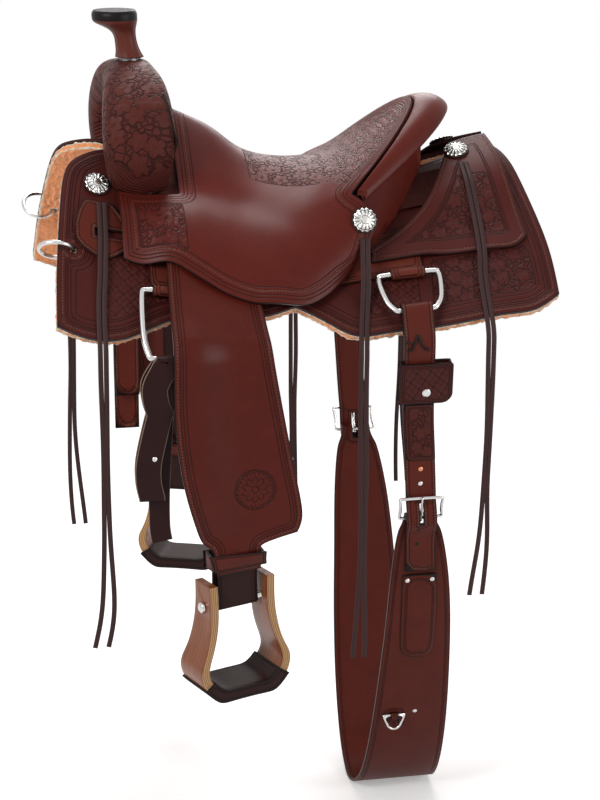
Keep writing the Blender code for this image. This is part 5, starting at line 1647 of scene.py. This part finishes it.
@dataclass
class FlankRig:
    """Flank billets with their keeper, sleeve and buckles, and the wide flank cinch."""

    bend: tuple[Point, Point] = ((0.1226, 0.0, -0.060), (0.1226, 0.0, -0.150))
    sleeve_top: float = -0.232
    sleeve_foot: float = -0.318
    sleeve_half: float = 0.0215
    # The sleeve's middle, as heights and their x
    sleeve_middle: tuple = ((-0.32, -0.23), (0.1320, 0.1265))
    snap: tuple[float, float] = (0.134, -0.213)
    # Radii of the pouch's rear corners, each with 1 for the lower corner and -1 for the upper one
    pouch_corners: tuple = ((0.016, 1.0), (0.006, -1.0))
    # Name, finish, profile, material and places as (x, height, rise)
    trim: tuple = (
        ("billet_rivet", COPPER, RIVET, "stainless", ((0.1320, -0.3330, 0.0),)),
        ("billet_eyelet", STEEL, RIVET, "stainless", ((0.1325, -0.3560, 0.0),)),
        ("billet_holes", WELT_LEATHER, HOLE, "dark_leather", ((0.1330, -0.4300, 0.0), (0.1335, -0.4560, 0.0))),
    )
    # The thong lacing's ends and turns, as (x, height)
    lacing: tuple = (
        ((0.1100, -0.1450), (0.1150, -0.1330), (0.1185, -0.1250)),
        ((0.1185, -0.1250), (0.1215, -0.1340), (0.1270, -0.1440)),
        ((0.1025, -0.1340), (0.1055, -0.1365), (0.1075, -0.1350)),
        ((0.1040, -0.1480), (0.1070, -0.1465), (0.1100, -0.1480)),
        ((0.1280, -0.1470), (0.1310, -0.1455), (0.1340, -0.1465)),
    )
    # The cinch's centre sleeve, as (height, middle, half width), and its rivets as (x, height, rise)
    centre: tuple = (
        (-0.508, 0.1415, 0.0262), (-0.530, 0.1425, 0.0272), (-0.560, 0.1435, 0.0276), (-0.590, 0.144, 0.0276),
        (-0.615, 0.1445, 0.0274), (-0.635, 0.145, 0.0262), (-0.645, 0.145, 0.0220), (-0.651, 0.145, 0.0150),
    )
    rivets: tuple = ((0.152, -0.757, 0.0), (0.134, -0.470, 0.0), (0.1225, -0.5165, 0.0036), (0.1605, -0.5165, 0.0036))

    def pouch(self, obj: bpy.types.Object) -> None:
        """Flat coordinates for the pouch, whose rear corners it then rounds, as its flap is cut.

        Args:
            obj: the pouch.
        """
        bulk_flat(obj)
        points = coordinates(obj)
        for radius, upward in self.pouch_corners:
            over = np.clip((points[:, 0] - points[:, 0].max() + radius) / radius, 0.0, 1.0)
            height = points[:, 2] * upward
            under = np.clip((height.min() + radius - height) / radius, 0.0, 1.0)
            long = np.maximum(np.hypot(over, under), 1e-9)
            pull = (1.0 - np.maximum(over, under) / long) * radius * (over > 0) * (under > 0)
            points[:, 0] -= over * pull
            points[:, 2] += under * pull * upward
        set_coordinates(obj, points)

    def pouch_stamps(self, _: np.ndarray, edge: np.ndarray) -> dict[str, np.ndarray]:
        """Weave all over the pouch."""
        return {"basket": edge - 0.0065}

    def keeper(self) -> None:
        """Dresses the snap keeper on the near billet, and gives it its snap."""
        obj = dress(
            "snap_keeper", POUCH_LEATHER, "cinch", 3, stamps=self.pouch_stamps, flat=self.pouch
        )
        place, normal = outer_point(surface(obj), *self.snap, Side.NEAR)
        snap = disc("keeper_snap", SNAP, place, normal)
        bare(snap)
        settle(snap, STEEL, "cinch")

    def sleeve(self, tree: BVHTree) -> None:
        """The carved sleeve round the near billet, under its keeper.

        Args:
            tree: the billet's surface.
        """
        heights = np.linspace(self.sleeve_top, self.sleeve_foot, 13)
        rows = [(z, float(np.interp(z, *self.sleeve_middle)), self.sleeve_half) for z in heights]
        obj = patch("billet_sleeve", tree, Side.NEAR, rows, 0.0030, 12)
        fields(obj, floral=measure(obj) - 0.006)
        lay_flat(obj)
        settle(obj, SLEEVE_LEATHER, "cinch")

    def trimmings(self, tree: BVHTree) -> None:
        """The near billet's rivet, its eyelet, its holes and its thong lacing.

        Args:
            tree: the billet's surface.
        """
        for name, finish, profile, slot, spots in self.trim:
            settle(studs(name, profile, tree, Side.NEAR, spots), finish, "cinch")
        thongs = []
        for index, line in enumerate(self.lacing):
            path = outer_line(tree, spline([(x, 0, z) for x, z in line], 24)[:, [0, 2]], Side.NEAR, 0.0010)
            thongs.append(swept(f"lace_{index}", path, flat_section(0.0038, 0.0020), (0, -1, 0)))
        hold = ("tree", "cinch", *mirror(self.bend, Side.NEAR))
        settle(join("billet_lacing", thongs), WELT_LEATHER, hold)

    def cinch(self) -> None:
        """Dresses the flank cinch, with its centre sleeves and rivets."""
        tree = surface(dress("flank_cinch", CINCH_LEATHER, "cinch", 3))
        for side in Side:
            sleeve = patch(f"cinch_sleeve_{side.label}", tree, side, self.centre, 0.0036, 10)
            measure(sleeve)
            fields(sleeve)
            lay_flat(sleeve)
            settle(sleeve, CINCH_LEATHER, "cinch")
            rivets = studs(f"cinch_rivets_{side.label}", RIVET, tree, side, self.rivets)
            settle(rivets, COPPER if side is Side.OFF else STEEL, "cinch")

    def build(self) -> None:
        """Builds the flank rig."""
        for side in Side:
            hold = ("tree", "cinch", *mirror(self.bend, side))
            dress(f"flank_billet_{side.label}", STRAP_LEATHER, hold)
        self.keeper()
        tree = surface(bpy.data.objects["flank_billet_near_skin"])
        self.sleeve(tree)
        self.trimmings(tree)
        dress_metal("cinch_ring", "cinch_ring")
        for side in Side:
            dress_metal(f"buckle_{side.label}", "cinch")
            dress_metal(f"buckle_tongue_{side.label}", f"tongue_{side.label}")
        self.cinch()


@dataclass
class Conchos:
    """Engraved, scalloped silver conchos on dark leather rosettes."""

    rosette: float = 0.0190
    silver: float = 0.0165
    lobes: int = 14
    # The silver from its foot to its middle, as (radius as a share, height, scallop, whether it is a hollow)
    profile: tuple = (
        (1.00, 0.0026, 0.055, False), (1.01, 0.0034, 0.055, False), (0.92, 0.0046, 0.05, False),
        (0.86, 0.0043, 0.03, True), (0.80, 0.0049, 0.02, False), (0.60, 0.0060, 0.0, False),
        (0.42, 0.0066, 0.0, False), (0.38, 0.0060, 0.0, True), (0.34, 0.0064, 0.0, False), (0.15, 0.0067, 0.0, False),
    )
    ray_height: float = 0.0005

    def seat(self, node: str) -> tuple[np.ndarray, np.ndarray]:
        """Where a concho sits.

        Args:
            node: its CAD node.

        Returns:
            The middle of its foot, and its outward direction.
        """
        p = coordinates(FRAME["nodes"][node])
        middle = p.mean(axis=0)
        normal = np.linalg.svd(p - middle, full_matrices=False)[2][2]
        out = np.array([0.0, -1.0 if node.endswith("near") else 1.0, 0.8])
        normal = normal if normal @ out > 0 else -normal
        return middle + normal * ((p - middle) @ normal).min(), normal

    def concho(self, node: str) -> None:
        """Builds one concho in the place of its CAD solid.

        Args:
            node: the CAD node.
        """
        foot, normal = self.seat(node)
        waves = [(t, math.cos(self.lobes * t)) for t in np.linspace(0, 2 * math.pi, self.lobes * 8, endpoint=False)]
        bm = bmesh.new()
        rings, hollows = [], []
        for share, height, scallop, hollow in self.profile:
            ring = []
            for t, wave in waves:
                r = self.silver * share * (1 + scallop * wave)
                ray = self.ray_height * wave if 0.5 < share < 0.95 else 0.0
                ring.append(bm.verts.new((r * math.cos(t), r * math.sin(t), height + ray)))
                hollows.append(1.0 if hollow else 0.75 if ray < -0.0002 else 0.0)
            rings.append(ring)
        bridge(bm, rings)
        bm.faces.new(rings[-1])
        bm.faces.new(rings[0][::-1])
        bmesh.ops.recalc_face_normals(bm, faces=bm.faces)
        obj = link_bmesh(f"{node}_silver", bm)
        carry(obj, "hollow", np.array(hollows))
        bake_place(obj, foot, normal)
        smooth_by(obj, 40)
        settle(obj, SILVER, "tree", node)
        r = self.rosette
        profile = ((0, 0.0024), (r * 0.9, 0.0024), (r, 0.0018), (r, 0.0004), (0, 0.0))
        rosette = disc(f"{node}_rosette", profile, foot, normal, 40)
        bare(rosette)
        settle(rosette, ROSETTE_LEATHER, "tree")

    def build(self) -> None:
        """Builds all six."""
        for place in ("front", "mid", "rear"):
            for side in Side:
                self.concho(f"concho_{place}_{side.label}")


@dataclass
class Strings:
    """The saddle strings: two thongs from each concho, side by side and then apart."""

    width: float = 0.0070
    thick: float = 0.0023
    apart: float = 0.0004
    parting: float = 0.0045
    sway: float = 0.0016
    smoothing: int = 12
    free_below: float = -0.16
    shifts: tuple[float, ...] = (0.0035, -0.0035, 0.0055, -0.0055, 0.008, -0.008)

    def middle(self, node: str, side: Side) -> tuple[np.ndarray, np.ndarray]:
        """The pair's middle line, read from its CAD solid.

        Args:
            node: the CAD node.
            side: the side it is on.

        Returns:
            The line from its top down, and its outward directions.
        """
        solid = FRAME["nodes"][node]
        tree, p = surface(solid), coordinates(solid)
        top, foot = p[:, 2].max() - 0.003, p[:, 2].min() + 0.0005
        line, ups = [], []
        for z in np.concatenate([np.linspace(top, top - 0.14, 24), np.linspace(top - 0.15, foot, 30)]):
            near = np.abs(p[:, 2] - z) < 0.016
            near = near if near.sum() > 3 else np.argsort(np.abs(p[:, 2] - z))[:8]
            x = (p[near, 0].min() + p[near, 0].max()) / 2
            hits = (outer_point(tree, x + shift, z, side) for shift in self.shifts)
            found = next((hit for hit in hits if hit is not None), None)
            if found is not None:
                line.append((x, found[0][1], z))
                ups.append(found[1])
        line = np.array(line)
        hanging = line[:, 2] < self.free_below
        for _ in range(self.smoothing):
            eased = line.copy()
            eased[1:-1] = (line[:-2] + 2 * line[1:-1] + line[2:]) / 4
            line[:, 0] = eased[:, 0]
            line[hanging, 1] = eased[hanging, 1]
        return line, np.array(ups)

    def pair(self, place: str, side: Side) -> None:
        """Builds the two thongs of one concho.

        Args:
            place: front, mid or rear.
            side: the side they are on.
        """
        node = f"strings_{place}_{side.label}"
        line, ups = self.middle(node, side)
        down = (line[0, 2] - line[:, 2]) / (line[0, 2] - line[-1, 2])
        for index, sign in enumerate((-1, 1)):
            path = line - ups * (self.thick / 2)
            path[:, 0] += sign * (self.width / 2 + self.apart) + self.parting * smoothstep(down, 0.70, 1.0) * sign
            path[:, 0] += self.sway * np.sin(down * 7 + index * 2 + len(place)) * smoothstep(down, 0.3, 0.6)
            path = spline(path, 90)
            up = pick(path[:, 2], line[::-1, 2], ups[::-1])
            obj = swept(f"thong_{place}_{side.label}_{index + 1}", path, flat_section(self.width, self.thick), up)
            bare(obj)
            settle(obj, STRING_LEATHER, "tree")
        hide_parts(node)

    def build(self) -> None:
        """Builds all twelve thongs."""
        for place in ("front", "mid", "rear"):
            for side in Side:
                self.pair(place, side)


@dataclass
class Inside:
    """The tree and the steel inside, which stay as their CAD solids."""

    wood: tuple[str, ...] = ("tree_bar_near", "tree_bar_off", "tree_fork", "tree_cantle")
    steel: tuple[str, ...] = ("horn_core", "ground_seat")

    def build(self) -> None:
        """Gives them their finishes."""
        for names, finish in ((self.wood, RAWHIDE), (self.steel, BARE_STEEL)):
            for name in names:
                paint(FRAME["nodes"][name], finish)


@dataclass
class Studio:
    """A pale floor, soft lights and the camera."""

    target: Point = (0.0, 0.0, -0.29)
    azimuth: float = 11.0
    elevation: float = 16.5
    distance: float = 3.2
    lens: float = 93.6
    floor_z: float = -0.938
    floor_radius: float = 2.2
    ambient: float = 0.16
    # Name, place, size and watts; they shine at a place on the saddle
    lights: tuple = (
        ("key", (-2.3, -1.9, 1.5), 1.3, 72.0),
        ("fill", (2.2, -1.9, 0.5), 1.4, 34.0),
        ("top", (0.1, 0.9, 2.2), 1.4, 46.0),
        ("rim", (0.7, 2.2, 1.3), 1.4, 22.0),
    )
    lit: Point = (0.0, 0.0, -0.2)

    def stand(self, name: str, data: bpy.types.ID, place: Vector, back: Vector) -> bpy.types.Object:
        """Puts a camera or a light in the scene.

        Args:
            name: its name.
            data: the camera or light.
            place: where it stands.
            back: the direction away from what it looks at.

        Returns:
            The object.
        """
        obj = bpy.data.objects.new(name, data)
        bpy.context.scene.collection.objects.link(obj)
        obj.location = place
        obj.rotation_euler = back.to_track_quat("Z", "Y").to_euler()
        return obj

    def camera(self) -> None:
        """Places the camera."""
        a, e = math.radians(self.azimuth), math.radians(self.elevation)
        back = Vector((-math.sin(a) * math.cos(e), -math.cos(a) * math.cos(e), math.sin(e)))
        data = bpy.data.cameras.new("camera")
        data.lens, data.sensor_width, data.clip_end = self.lens, 36.0, 30.0
        bpy.context.scene.camera = self.stand("camera", data, Vector(self.target) + back * self.distance, back)

    def world(self) -> None:
        """White to the camera, and a plain grey light on the object."""
        world = bpy.data.worlds.new("studio")
        bpy.context.scene.world = world
        world.use_nodes = True
        graph = Graph(world.node_tree)
        sky = graph.blend((self.ambient,) * 3, (1.0, 1.0, 1.0), graph.seen())
        graph.fill(world.node_tree.nodes["Background"], {"Color": sky, "Strength": 1.0})

    def lamps(self) -> None:
        """Adds the soft lights."""
        for name, place, size, watts in self.lights:
            data = bpy.data.lights.new(name, "AREA")
            data.shape, data.size, data.energy = "DISK", size, watts
            self.stand(name, data, Vector(place), Vector(place) - Vector(self.lit))

    def floor(self) -> None:
        """A pale round floor."""
        bpy.ops.mesh.primitive_circle_add(
            vertices=96, radius=self.floor_radius, fill_type="NGON", location=(0, 0, self.floor_z)
        )
        obj = bpy.context.object
        obj.name = "floor"
        paint(obj, FLOOR)
        obj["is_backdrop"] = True

    def build(self) -> None:
        """Builds the studio."""
        self.camera()
        self.world()
        self.lamps()
        self.floor()


SUB_ASSEMBLIES = (
    Studio, Inside, ForkAndHorn, Seat, Housings, Rigging, Latigo, Leathers, Stirrups, FlankRig, Conchos, Strings,
)


def main() -> None:
    """Builds the saddle over its frame, part by part, in its studio."""
    logging.basicConfig(level=logging.INFO, format="%(message)s")
    bpy.ops.object.select_all(action="SELECT")
    bpy.ops.object.delete()
    FRAME.update(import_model())
    bpy.context.scene.view_settings.view_transform = "Standard"
    for part in SUB_ASSEMBLIES:
        part().build()
        log.info("%s built", part.__name__)
    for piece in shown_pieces():
        log.info("%s: %d faces", piece.name, len(piece.data.polygons))


if __name__ == "__main__":
    main()
